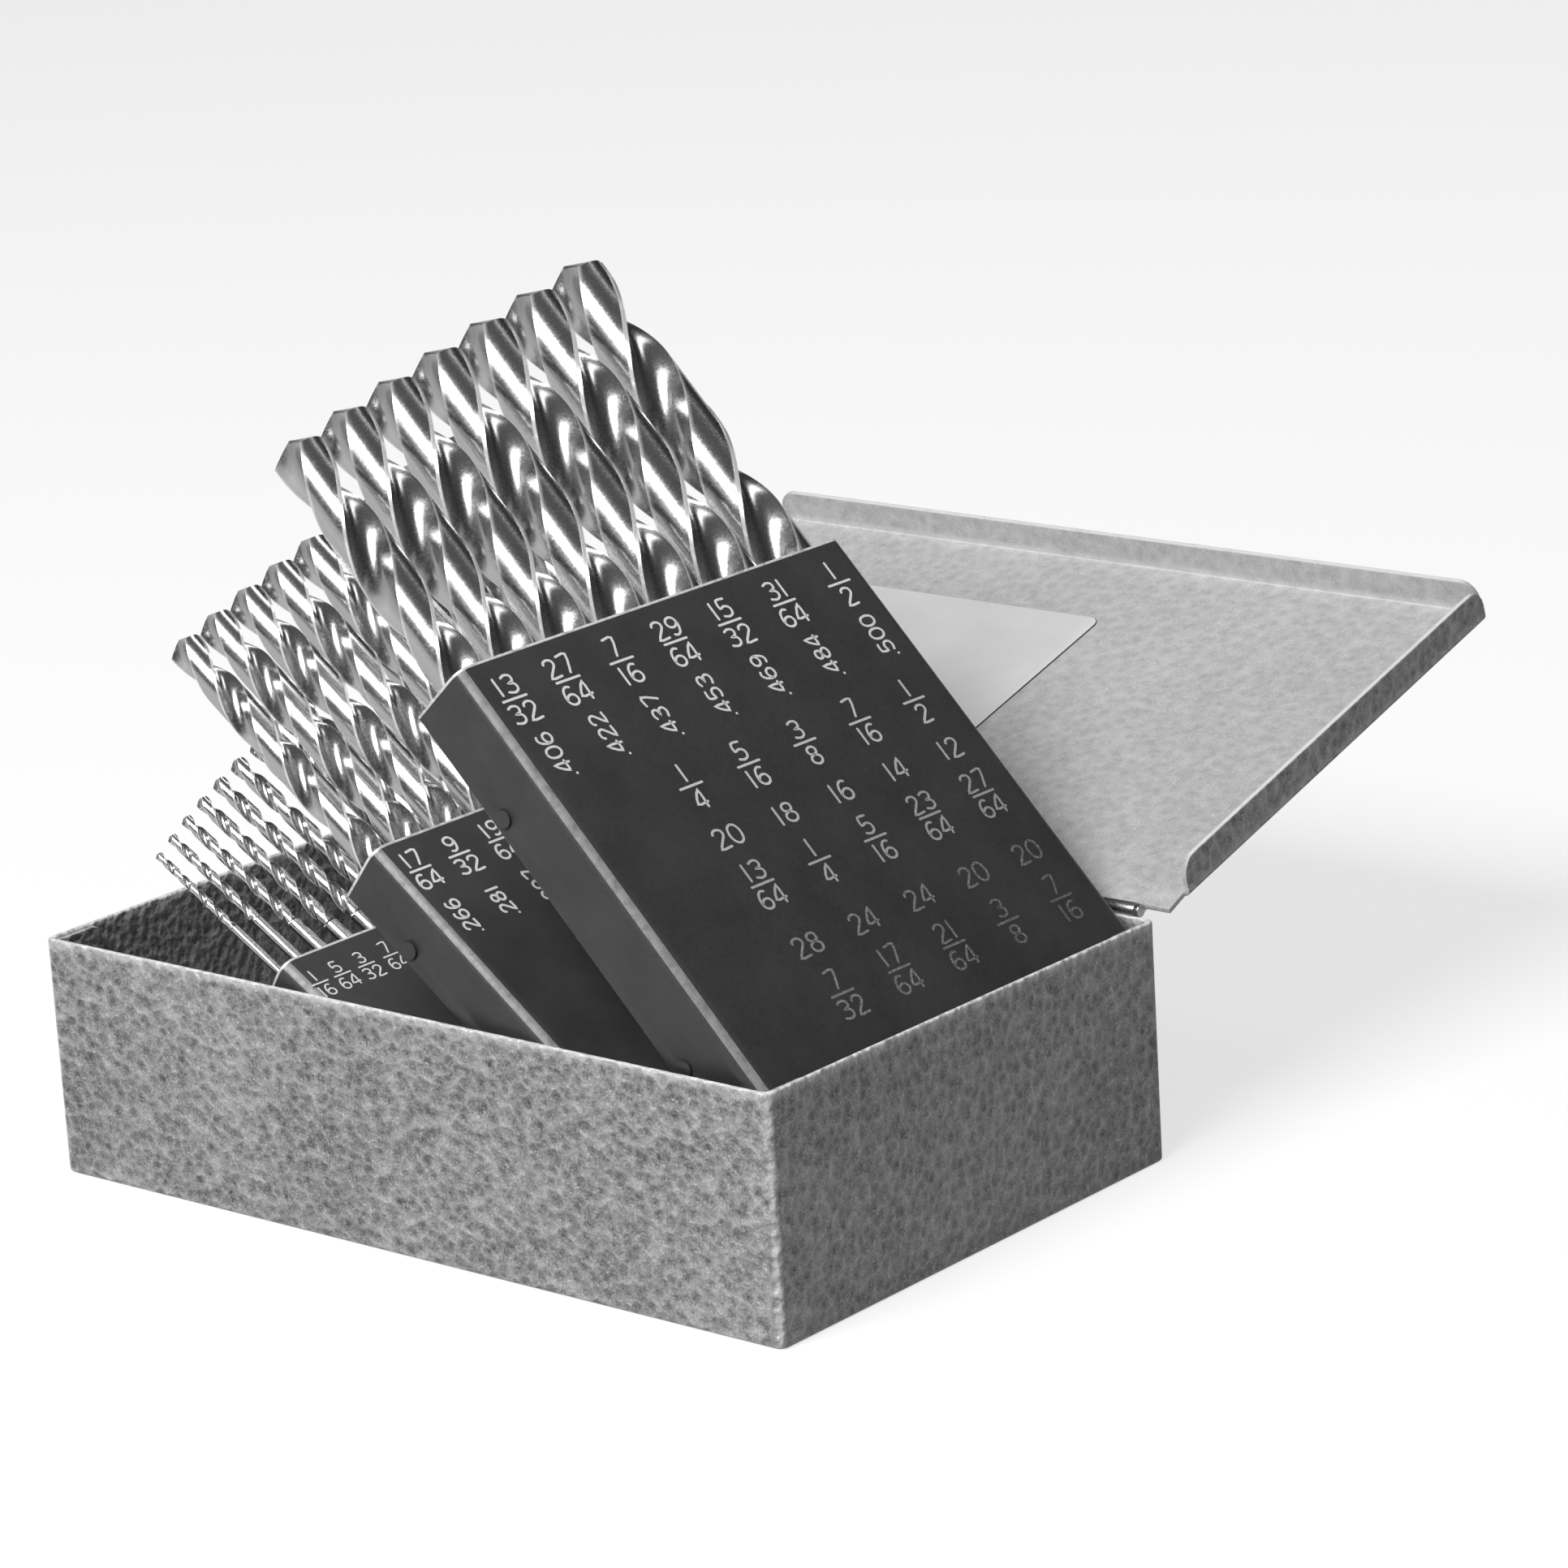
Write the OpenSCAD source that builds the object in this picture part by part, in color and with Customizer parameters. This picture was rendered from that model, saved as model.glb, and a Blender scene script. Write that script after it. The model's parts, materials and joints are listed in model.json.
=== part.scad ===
/* [Case] */
// Length of the case, left end to right end
case_l = 178; // [176:1:190]
// Width of the case, front wall to hinge wall
case_w = 112; // [110:1:124]
// Height of the case without its lid
case_h = 47; // [46:1:56]
// Thickness of the case sheet
case_sheet = 1; // [0.8:0.1:1.4]
// Outer radius of the upright corner bends
case_bend = 1.5; // [1.5:0.1:3]
// Length of the tabs folded inside the short walls
corner_tab_l = 12; // [6:1:16]

/* [Lid] */
// Angle that the lid stands open, counted from closed
lid_open = 164; // [120:1:170]
// Thickness of the lid sheet
lid_sheet = 0.9; // [0.7:0.1:1.2]
// Depth of the lid's edges, outside
lid_edge_h = 7.5; // [5:0.5:10]
// Room between the lid's edges and the case walls
lid_room = 0.6; // [0.4:0.1:1]
// Gap between the closed lid and the rim
lid_gap = 0.4; // [0.3:0.1:0.8]
// Inner radius of the bends between the lid's panel and its edges
lid_inner_bend = 0.3; // [0.1:0.1:0.6]
// Radius of the lid edges' free corners
lid_corner_r = 4; // [2:0.5:5]
// Gap at each corner between neighbouring edges of the lid
lid_notch = 0.6; // [0.4:0.1:1.5]
// Distance that the lid's end edges stop short of the hinge line
lid_back_room = 6; // [5:0.5:12]
// Length of the blank card inside the lid
card_l = 74; // [40:1:90]
// Width of the blank card inside the lid
card_w = 63; // [40:1:80]
// Thickness of the blank card
card_t = 0.3; // [0.2:0.1:0.6]
// Radius of the card's corners
card_r = 3; // [1:0.5:5]
// Place of the card's middle from the lid's middle, toward the left end
card_shift = 26; // [0:1:30]
// Place of the card's middle from the lid's middle, toward the front edge
card_front_shift = 4; // [0:0.5:8]

/* [Hinge] */
// Outer radius of the hinge knuckles
knuckle_r = 1.4; // [1.4:0.1:1.8]
// Radius of the hinge pin
hinge_pin_r = 0.8; // [0.6:0.05:0.9]
// Radius of the hinge pin's heads
hinge_head_r = 1.2; // [1:0.05:1.3]
// Thickness of the hinge pin's heads
hinge_head_t = 0.8; // [0.5:0.1:1.2]
// Number of knuckles on both leaves together
knuckles = 19; // [5:2:25]
// Distance from each end of the hinge to the case's end
hinge_inset = 5; // [3:1:20]
// Width of each hinge leaf
leaf_w = 8; // [6:0.5:12]
// Gap between neighbouring knuckles
knuckle_gap = 0.3; // [0.2:0.05:0.5]

/* [Racks] */
// Tilt of the large rack when raised
tilt_large = 46; // [40:1:48]
// Tilt of the middle rack when raised
tilt_middle = 37.5; // [34:0.5:39]
// Tilt of the small rack when raised
tilt_small = 31.5; // [28:0.5:33]
// Length of the large rack, pivot to label edge
large_l = 95.5; // [90:0.5:95.5]
// Length of the middle rack, pivot to label edge
middle_l = 78; // [70:0.5:80]
// Length of the small rack, pivot to label edge
small_l = 66; // [56:0.5:68]
// Thickness of the rack sheet
rack_sheet = 0.8; // [0.6:0.1:1]
// Outer bend radius along a rack's front edges
rack_bend = 3; // [2:0.5:3.5]
// Gap between a rack and the case wall, which holds the bracket
rack_side_gap = 1.8; // [1.8:0.1:2.4]
// Height of the gap between folded racks
stack_gap = 0.7; // [0.5:0.1:1]
// Room above the folded large rack, under the rim
stack_top_room = 1.3; // [0.8:0.1:3]
// Room between the large rack's ears and the tabs on the right wall
ear_room = 0.4; // [0.4:0.1:1]
// Room over and under the thickest large drill in its rack, together
large_row_room = 0.3; // [0.3:0.05:0.8]
// Room over and under the thickest middle drill in its rack, together
middle_row_room = 0.9; // [0.5:0.05:1.2]
// Room over and under the thickest small drill in its rack, together
small_row_room = 1.05; // [0.5:0.05:1.4]
// Travel of the middle rack's rod along its slot
middle_travel = 29; // [29:1:30]
// Travel of the small rack's rod along its slot
small_travel = 54; // [52:1:58]
// Distance from the right wall to the middle rack's rod when raised
middle_rod_inset = 33; // [33:1:36]
// Distance from the right wall to the small rack's rod when raised
small_rod_inset = 63; // [62:1:66]

/* [Plates and rivets] */
// Depth of the guide plates below the label edge of the large rack
large_guide_depth = 23; // [10:1:40]
// Depth of the guide plate below the label edge of the middle rack
middle_guide_depth = 15; // [8:1:25]
// Depth of the guide plate below the label edge of the small rack
small_guide_depth = 5; // [3:0.5:8]
// Room around a drill in its hole, on the radius
hole_room = 0.3; // [0.3:0.05:0.5]
// Free width between a row's end drill and the rack's side
row_margin = 1.5; // [1.3:0.1:2.5]
// Length of the folded tabs that hold a plate
plate_tab = 5; // [4:0.5:7]
// Distance that the tabs stop short of the rack's bends
tab_room = 0.5; // [0.3:0.1:0.8]
// Radius of a rivet's shank
rivet_r = 0.8; // [0.6:0.1:1]
// Radius of a rivet's head
rivet_head_r = 1.7; // [1.4:0.1:2]
// Height of a rivet's head
rivet_head_h = 0.5; // [0.4:0.05:0.5]
// Distance of the rivets from a rack's rear edge
rivet_inset = 2.6; // [2.4:0.1:3.2]

/* [Pivots] */
// Radius of the large rack's pivot rod
large_rod_r = 1.5; // [1.2:0.1:1.7]
// Radius of the middle and small racks' pivot rods
rod_r = 1.3; // [1:0.1:1.5]
// Running clearance of a rod in its hole, on the radius
rod_room = 0.05; // [0.03:0.01:0.08]
// Radius of the ears round the rods
ear_r = 2.6; // [2.5:0.1:2.8]
// Room between a rod's ends and the case walls
rod_end_room = 0.2; // [0.1:0.1:0.4]
// Thickness of the pivot brackets
bracket_t = 0.9; // [0.7:0.1:1]
// Width of bracket sheet left round a slot, past the ears
bracket_margin = 1.5; // [1:0.1:2]

/* [Drills] */
// Length of the thinnest small drill that stands out of its rack
small_show = 36.5; // [30:0.5:40]
// Gain of that length from one small drill to the next
small_show_step = 2.95; // [2.5:0.05:3.1]
// Length of the thinnest middle drill that stands out of its rack
middle_show = 59.5; // [50:0.5:62]
// Length of the thinnest large drill that stands out of its rack
large_show = 55.9; // [50:0.1:56]
// Lead of the flutes, in drill diameters
flute_lead = 5.8; // [4.5:0.1:7]
// Angle of a drill's point
point_angle = 118; // [110:1:140]
// Direction that every drill's cutting edge points at the tip
tip_turn = 70; // [0:5:180]

/* [Hidden] */
// Overlap of solids that are joined, and how far a cut runs past what it cuts
eps = 0.01;
past = 1;
inch = 25.4;
paint = [0.55, 0.56, 0.57];
black = [0.13, 0.13, 0.14];
steel = [0.78, 0.79, 0.81];
bright = [0.85, 0.86, 0.88];
card_color = [0.88, 0.88, 0.86];
round_fn = 48;

// Drill sets: each entry is [diameter in 64ths, overall length, flute length], lengths in inches
SMALL_SET = [
    [4, 1.875, 0.875], [5, 2, 1], [6, 2.25, 1.25], [7, 2.625, 1.5],
    [8, 2.75, 1.625], [9, 2.875, 1.75], [10, 3.125, 2], [11, 3.25, 2.125],
    [12, 3.5, 2.3125], [13, 3.625, 2.4375], [14, 3.75, 2.5], [15, 3.875, 2.625],
    [16, 4, 2.75]
];
MIDDLE_SET = [
    [17, 4.125, 2.875], [18, 4.25, 2.9375], [19, 4.375, 3.0625], [20, 4.5, 3.1875],
    [21, 4.625, 3.3125], [22, 4.75, 3.4375], [23, 4.875, 3.5], [24, 5, 3.625],
    [25, 5.125, 3.75]
];
LARGE_SET = [
    [26, 5.25, 3.875], [27, 5.375, 3.9375], [28, 5.5, 4.0625], [29, 5.625, 4.1875],
    [30, 5.75, 4.3125], [31, 5.875, 4.375], [32, 6, 4.5]
];
// The longer drills gain this much length from one size to the next
size_step = inch / 8;

function drill_d(set, i) = set[i][0] * inch / 64;
function drill_l(set, i) = set[i][1] * inch;
function flute_l(set, i) = set[i][2] * inch;
// Sum of the diameters of the first n drills of a set
function sum_d(set, n) = n <= 0 ? 0 : sum_d(set, n - 1) + drill_d(set, n - 1);

rack_half = case_w / 2 - case_sheet - rack_side_gap;
row_half = rack_half - rack_sheet - row_margin;
// The gap between neighbouring drills is the same along a row
function row_gap(set) = (2 * row_half - sum_d(set, len(set))) / (len(set) - 1);
function drill_y(set, i) = -row_half + sum_d(set, i) + i * row_gap(set) + drill_d(set, i) / 2;

// Depth of a rack: its thickest drill, that drill's room, and the sheet over and under it,
// rounded to the size that a sheet metal drawing would give
drawing_step = 0.01;
function row_depth(set, room) =
    round((drill_d(set, len(set) - 1) + 2 * rack_sheet + room) / drawing_step) * drawing_step;
large_depth = row_depth(LARGE_SET, large_row_room);
middle_depth = row_depth(MIDDLE_SET, middle_row_room);
small_depth = row_depth(SMALL_SET, small_row_room);
// Height of each rack's label face above its rod
large_axis_n = 5;
middle_axis_n = 6.5;
small_axis_n = 5;
// Height of each rack's label face when it lies folded in the case
large_face_z = case_h - stack_top_room;
middle_face_z = large_face_z - large_depth - stack_gap;
small_face_z = middle_face_z - middle_depth - stack_gap;

// The rod of the large rack stands as near the right wall as its ear allows
large_x = case_l / 2 - 2 * case_sheet - ear_room - ear_r;
middle_x = case_l / 2 - case_sheet - middle_rod_inset;
small_x = case_l / 2 - case_sheet - small_rod_inset;
large_z = large_face_z - large_axis_n;
middle_z = middle_face_z - middle_axis_n;
small_z = small_face_z - small_axis_n;

// Where a rack's face starts, and where its side walls reach full depth, from the rod
face_start = 2.2;
heel_slope = 12;

hinge_y = case_w / 2 + knuckle_r;
hinge_z = case_h + lid_gap + lid_sheet - knuckle_r / 2;
hinge_l = case_l - 2 * hinge_inset;
leaf_t = knuckle_r / 2;
lid_bend = lid_inner_bend + lid_sheet;
lid_half_l = case_l / 2 + lid_room + lid_sheet;
lid_half_w = case_w / 2 + lid_room + lid_sheet;
// The lid's panel stops this far short of the hinge line
lid_hinge_room = 0.4;
lid_top = case_h + lid_gap + lid_sheet;

function large_seat(i) = drill_l(LARGE_SET, i) - large_show - i * size_step;
function middle_seat(i) = drill_l(MIDDLE_SET, i) - middle_show - i * size_step;
function small_seat(i) = drill_l(SMALL_SET, i) - small_show - i * small_show_step;

// Outline of half a drill's section: [angle, share of the radius]. It starts at the cutting
// edge, crosses the flute to the heel, and ends on the land, which is cleared behind its edge
FINE_HALF = [[0, 1], [7, 0.55], [30, 0.36], [66, 0.38], [98, 0.97], [139, 0.97]];
PLAIN_HALF = [[0, 1], [10, 0.52], [45, 0.34], [98, 0.97], [139, 0.97]];
// The fluted part is rooted a little inside the shank's end, and a little thinner there
root_share = 0.94;
root_depth = 0.1;
// The flutes reach their full depth over this many steps from the shank
run_out_steps = 2;
fine_steps = 21;
middle_steps = 17;
plain_steps = 16;

// Frame of a rack: x runs from the label edge to the rod, z out of the label face
module on_rack(x, z, tilt) {
    translate([x, 0, z]) rotate([0, tilt, 0]) children();
}

module on_large() on_rack(large_x, large_z, tilt_large) children();
module on_middle() on_rack(middle_x, middle_z, tilt_middle) children();
module on_small() on_rack(small_x, small_z, tilt_small) children();

// A profile drawn in x and z, made width wide about y = 0
module across(width) {
    rotate([90, 0, 0]) linear_extrude(height = width, center = true) children();
}

// A profile drawn in y and z, made length long from x = 0
module along(length) {
    rotate([90, 0, 90]) linear_extrude(height = length) children();
}

module rod(radius, length) {
    rotate([90, 0, 0]) cylinder(r = radius, h = length, center = true, $fn = round_fn);
}

// A rectangle with four round corners
module round_rect(length, width, r) {
    union() {
        square([length - 2 * r, width], center = true);
        square([length, width - 2 * r], center = true);
        for (sx = [-1, 1], sy = [-1, 1])
            translate([sx * (length / 2 - r), sy * (width / 2 - r)]) circle(r = r, $fn = round_fn);
    }
}

module case_body() {
    inner_l = case_l - 2 * case_sheet;
    inner_w = case_w - 2 * case_sheet;
    inner_bend = case_bend - case_sheet;
    color(paint) {
        difference() {
            linear_extrude(height = case_h) round_rect(case_l, case_w, case_bend);
            translate([0, 0, case_sheet])
                linear_extrude(height = case_h) round_rect(inner_l, inner_w, inner_bend);
        }
        for (sx = [-1, 1], sy = [-1, 1])
            translate([sx * (inner_l - case_sheet) / 2, sy * (inner_w - corner_tab_l) / 2, case_h / 2])
                cube([case_sheet + eps, corner_tab_l + eps, case_h - case_sheet], center = true);
    }
}

// Every second knuckle of the hinge, from the first or the second one on
module hinge_knuckles(first) {
    pitch = hinge_l / knuckles;
    for (k = [first : 2 : knuckles - 1])
        translate([-hinge_l / 2 + k * pitch + knuckle_gap / 2, 0, 0])
            rotate([0, 90, 0]) cylinder(r = knuckle_r, h = pitch - knuckle_gap, $fn = round_fn);
}

// Room round the other leaf's knuckles
module hinge_notches(first) {
    pitch = hinge_l / knuckles;
    for (k = [first : 2 : knuckles - 1])
        translate([-hinge_l / 2 + k * pitch - knuckle_gap / 2, 0, 0])
            rotate([0, 90, 0])
                cylinder(r = knuckle_r + knuckle_gap, h = pitch + knuckle_gap, $fn = round_fn);
}

module hinge_bore() {
    rotate([0, 90, 0])
        cylinder(r = hinge_pin_r + rod_room, h = hinge_l + 2 * past, center = true, $fn = round_fn);
}

// A leaf that leaves the knuckles on the side of -z, in the plane y = -knuckle_r
module hinge_leaf(first, other) {
    difference() {
        union() {
            hinge_knuckles(first);
            difference() {
                translate([-hinge_l / 2, -knuckle_r, -leaf_w])
                    cube([hinge_l, leaf_t, leaf_w]);
                hinge_notches(other);
            }
        }
        hinge_bore();
    }
}

module case_hinge_leaf() {
    color(steel) translate([0, hinge_y, hinge_z]) hinge_leaf(0, 1);
}

// The pin's heads close the barrel at both ends
module hinge_pin() {
    color(steel) translate([0, hinge_y, hinge_z]) rotate([0, 90, 0]) {
        cylinder(r = hinge_pin_r, h = hinge_l + 2 * hinge_head_t, center = true, $fn = round_fn);
        for (s = [-1, 1])
            translate([0, 0, s * (hinge_l + hinge_head_t) / 2])
                cylinder(r = hinge_head_r, h = hinge_head_t, center = true, $fn = round_fn);
    }
}

// The lid is drawn closed, then turned open about the hinge pin
module opened_lid() {
    translate([0, hinge_y, hinge_z]) rotate([-lid_open, 0, 0])
        translate([0, -hinge_y, -hinge_z]) children();
}

// One turned-down edge of the lid below its bend, with its free corners rounded
module lid_edge(length) {
    r = lid_corner_r;
    straight = lid_edge_h - lid_bend;
    linear_extrude(height = lid_sheet) union() {
        translate([-length / 2, -(straight - r)]) square([length, straight - r]);
        translate([-length / 2 + r, -straight]) square([length - 2 * r, straight]);
        for (s = [-1, 1])
            translate([s * (length / 2 - r), -(straight - r)]) circle(r = r, $fn = round_fn);
    }
}

// The quarter bend that joins an edge to the panel, about z = 0
module lid_bend_bar(length) {
    rotate([90, 0, 90]) linear_extrude(height = length, center = true) intersection() {
        difference() {
            circle(r = lid_bend, $fn = round_fn);
            circle(r = lid_inner_bend, $fn = round_fn);
        }
        translate([-lid_bend, 0]) square([lid_bend, lid_bend]);
    }
}

// One side of the lid: the bend and the edge below it, facing -y from the fold line at y = 0
module lid_side(length) {
    translate([0, 0, -lid_bend]) {
        lid_bend_bar(length);
        translate([0, -lid_inner_bend, 0]) rotate([90, 0, 0]) lid_edge(length);
    }
}

module lid_panel() {
    panel_y1 = case_w / 2 - lid_hinge_room;
    flat_l = lid_half_l - lid_bend;
    flat_w = lid_half_w - lid_bend;
    side_y0 = -flat_w + lid_notch;
    side_y1 = panel_y1 - lid_back_room;
    color(paint) opened_lid() translate([0, 0, lid_top]) union() {
        translate([-flat_l, -flat_w, -lid_sheet]) cube([2 * flat_l, flat_w + panel_y1, lid_sheet]);
        translate([0, -flat_w, 0]) lid_side(2 * (flat_l - lid_notch));
        for (s = [-1, 1])
            translate([s * flat_l, (side_y0 + side_y1) / 2, 0])
                rotate([0, 0, s * 90]) lid_side(side_y1 - side_y0);
    }
}

module lid_hinge_leaf() {
    color(steel) opened_lid()
        translate([0, hinge_y, hinge_z]) rotate([-90, 0, 0]) hinge_leaf(1, 0);
}

module lid_card() {
    color(card_color) opened_lid()
        translate([-card_shift, -card_front_shift, lid_top - lid_sheet - card_t])
            linear_extrude(height = card_t) round_rect(card_l, card_w, card_r);
}

// A bracket's plate: a high foot under the large rack's rod, and a low bar with two slots
module bracket_profile() {
    reach = ear_r + bracket_margin;
    bar_x1 = case_l / 2 - 2 * case_sheet;
    bar_z1 = middle_z + reach;
    foot_x0 = large_x - 2 * reach;
    difference() {
        union() {
            translate([small_x - reach, case_sheet])
                square([bar_x1 - small_x + reach, small_z + reach - case_sheet]);
            translate([middle_x - reach, case_sheet])
                square([bar_x1 - middle_x + reach, bar_z1 - case_sheet]);
            translate([foot_x0, bar_z1 - eps])
                square([bar_x1 - foot_x0, large_z - bar_z1 + ear_r]);
        }
        translate([large_x, large_z]) circle(r = large_rod_r + rod_room, $fn = round_fn);
        slot_profile(middle_x, middle_z, middle_travel);
        slot_profile(small_x, small_z, small_travel);
    }
}

module slot_profile(x, z, travel) {
    slot_r = rod_r + rod_room;
    for (end = [0, travel])
        translate([x + end, z]) circle(r = slot_r, $fn = round_fn);
    translate([x, z - slot_r]) square([travel, 2 * slot_r]);
}

module bracket(side) {
    color(black) translate([0, side * (case_w / 2 - case_sheet - bracket_t / 2), 0])
        across(bracket_t) bracket_profile();
}

module front_bracket() bracket(-1);
module back_bracket() bracket(1);

// Pivot rods end just short of the case walls, inside the brackets
rod_l = case_w - 2 * case_sheet - 2 * rod_end_room;

module large_pivot_rod() {
    color(steel) translate([large_x, 0, large_z]) rod(large_rod_r, rod_l);
}
module middle_pivot_rod() {
    color(steel) translate([middle_x, 0, middle_z]) rod(rod_r, rod_l);
}
module small_pivot_rod() {
    color(steel) translate([small_x, 0, small_z]) rod(rod_r, rod_l);
}

// Section of a rack's folded sheet: a face and two side walls, with round front bends
module rack_section(axis_n, depth) {
    difference() {
        bent_block(rack_half, axis_n, depth, rack_bend);
        translate([0, -rack_sheet])
            bent_block(rack_half - rack_sheet, axis_n, depth, rack_bend - rack_sheet);
    }
}

module bent_block(half, top, depth, r) {
    translate([-half, top - depth]) square([2 * half, depth - r]);
    translate([-(half - r), top - depth]) square([2 * (half - r), depth]);
    for (s = [-1, 1])
        translate([s * (half - r), top - r]) circle(r = r, $fn = round_fn);
}

// Side view of a rack: ears round the rod, then the full depth
module rack_outline(length, axis_n, depth, hole_r) {
    difference() {
        union() {
            circle(r = ear_r, $fn = round_fn);
            polygon([
                [0, ear_r], [-face_start, axis_n], [-length, axis_n], [-length, axis_n - depth],
                [-heel_slope, axis_n - depth], [0, -ear_r]
            ]);
        }
        circle(r = hole_r + rod_room, $fn = round_fn);
    }
}

module rack_shell(length, axis_n, depth, hole_r, rivet_xs) {
    color(black) difference() {
        intersection() {
            translate([-length, 0, 0]) along(length + 2 * ear_r) rack_section(axis_n, depth);
            across(2 * (rack_half + past)) rack_outline(length, axis_n, depth, hole_r);
        }
        for (x = rivet_xs)
            translate([x, 0, axis_n - depth + rivet_inset])
                rod(rivet_r + rod_room, 2 * (rack_half + past));
    }
}

// Rivets of one rack: a head outside each side wall and a shank through wall and tab
module rack_rivets(axis_n, depth, rivet_xs) {
    inner = rack_half - 2 * rack_sheet;
    color(bright)
        for (x = rivet_xs, side = [-1, 1])
            translate([x, 0, axis_n - depth + rivet_inset]) rotate([90, 0, 0]) {
                translate([0, 0, side > 0 ? inner : -rack_half])
                    cylinder(r = rivet_r, h = rack_half - inner, $fn = round_fn);
                translate([0, 0, side > 0 ? rack_half : -rack_half - rivet_head_h])
                    cylinder(r = rivet_head_r, h = rivet_head_h, $fn = round_fn);
            }
}

// Section of the room inside a rack, its corners a little rounder than the rack's bends
module inside_section(axis_n, depth) {
    bent_block(rack_half - rack_sheet, axis_n - rack_sheet, depth - rack_sheet, rack_bend);
}

// A plate across the room inside a rack, with a folded and riveted tab at each end
module cross_plate(x, axis_n, depth) {
    inner = rack_half - rack_sheet;
    difference() {
        translate([x - rack_sheet, 0, 0]) union() {
            along(rack_sheet) inside_section(axis_n, depth);
            for (s = [-1, 1])
                translate([0, s > 0 ? inner - rack_sheet : -inner, axis_n - depth])
                    cube([plate_tab, rack_sheet, depth - rack_sheet - rack_bend - tab_room]);
        }
        translate([x + plate_tab / 2 - rack_sheet, 0, axis_n - depth + rivet_inset])
            rod(rivet_r + rod_room, 2 * rack_half);
    }
}

// Rivets hold a plate's tabs at this place, counted from the rod
function rivet_x(length, depth_down) = -(length - depth_down) + plate_tab / 2 - rack_sheet;

// Height of a drill's axis above the rod: the drills stand in the middle of their rack
function drill_n(axis_n, depth) = axis_n - (depth + rack_sheet) / 2;

module guide_plate(set, length, axis_n, depth, down) {
    x = -(length - down);
    color(black) difference() {
        cross_plate(x, axis_n, depth);
        for (i = [0 : len(set) - 1])
            translate([x, drill_y(set, i), drill_n(axis_n, depth)]) rotate([0, 90, 0])
                cylinder(r = drill_d(set, i) / 2 + hole_room, h = 4 * rack_sheet, center = true,
                    $fn = round_fn);
    }
}

module seat_plate(length, axis_n, depth, down) {
    color(black) cross_plate(rack_sheet - (length - down), axis_n, depth);
}

// The seat strip seen along the drills' thickness: steps, risers between them, and end tabs
module seat_steps(set, length, edges, inner) {
    last = len(set) - 1;
    for (i = [0 : last])
        translate([-(length - small_seat(i)), edges[i]])
            square([rack_sheet, edges[i + 1] - edges[i]]);
    for (i = [1 : last])
        translate([-(length - small_seat(i - 1)), edges[i] - rack_sheet])
            square([small_seat(i) - small_seat(i - 1) + rack_sheet, rack_sheet]);
    translate([-(length - small_seat(0)), -inner]) square([plate_tab, rack_sheet]);
    translate([-(length - small_seat(last)), inner - rack_sheet]) square([plate_tab, rack_sheet]);
}

// The small rack's seat is a strip folded into one step for each drill
module stepped_seat(set, length, axis_n, depth) {
    inner = rack_half - rack_sheet;
    last = len(set) - 1;
    edges = [for (i = [0 : last + 1])
        i == 0 ? -inner : i > last ? inner :
        (drill_y(set, i - 1) + drill_d(set, i - 1) / 2 + drill_y(set, i) - drill_d(set, i) / 2) / 2];
    color(black) difference() {
        intersection() {
            translate([0, 0, axis_n - depth])
                linear_extrude(height = depth - rack_sheet) seat_steps(set, length, edges, inner);
            translate([-length, 0, 0]) along(length) inside_section(axis_n, depth);
        }
        for (i = [0, last])
            translate([stepped_rivet_x(length, i), 0, axis_n - depth + rivet_inset])
                rotate([i == 0 ? 90 : -90, 0, 0])
                    cylinder(r = rivet_r + rod_room, h = rack_half, $fn = round_fn);
    }
}

function stepped_rivet_x(length, i) = -(length - small_seat(i)) + plate_tab / 2 + rack_sheet / 2;

large_rivets = [
    rivet_x(large_l, large_guide_depth), rivet_x(large_l, large_seat(0)) + rack_sheet
];
middle_rivets = [
    rivet_x(middle_l, middle_guide_depth), rivet_x(middle_l, middle_seat(0)) + rack_sheet
];

module large_rack_shell() {
    on_large() rack_shell(large_l, large_axis_n, large_depth, large_rod_r, large_rivets);
}
module large_guide_plate() {
    on_large() guide_plate(LARGE_SET, large_l, large_axis_n, large_depth, large_guide_depth);
}
module large_seat_plate() {
    on_large() seat_plate(large_l, large_axis_n, large_depth, large_seat(0));
}
module large_rack_rivets() {
    on_large() rack_rivets(large_axis_n, large_depth, large_rivets);
}

module middle_rack_shell() {
    on_middle() rack_shell(middle_l, middle_axis_n, middle_depth, rod_r, middle_rivets);
}
module middle_guide_plate() {
    on_middle() guide_plate(MIDDLE_SET, middle_l, middle_axis_n, middle_depth, middle_guide_depth);
}
module middle_seat_plate() {
    on_middle() seat_plate(middle_l, middle_axis_n, middle_depth, middle_seat(0));
}
module middle_rack_rivets() {
    on_middle() rack_rivets(middle_axis_n, middle_depth, middle_rivets);
}

module small_rack_shell() {
    on_small() difference() {
        rack_shell(small_l, small_axis_n, small_depth, rod_r, [rivet_x(small_l, small_guide_depth)]);
        small_seat_rivets(rivet_r + rod_room, 0);
    }
}
module small_guide_plate() {
    on_small() guide_plate(SMALL_SET, small_l, small_axis_n, small_depth, small_guide_depth);
}
module small_seat_plate() {
    on_small() stepped_seat(SMALL_SET, small_l, small_axis_n, small_depth);
}

// The stepped seat's two rivets, one at each side and each at its own end step
module small_seat_rivets(radius, head_h) {
    inner = rack_half - 2 * rack_sheet;
    last = len(SMALL_SET) - 1;
    for (side = [-1, 1])
        translate([stepped_rivet_x(small_l, side < 0 ? 0 : last), 0,
                small_axis_n - small_depth + rivet_inset])
            rotate([-90, 0, 0]) {
                translate([0, 0, side > 0 ? inner : -rack_half])
                    cylinder(r = radius, h = rack_half - inner, $fn = round_fn);
                if (head_h > 0)
                    translate([0, 0, side > 0 ? rack_half : -rack_half - head_h])
                        cylinder(r = rivet_head_r, h = head_h, $fn = round_fn);
            }
}

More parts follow.
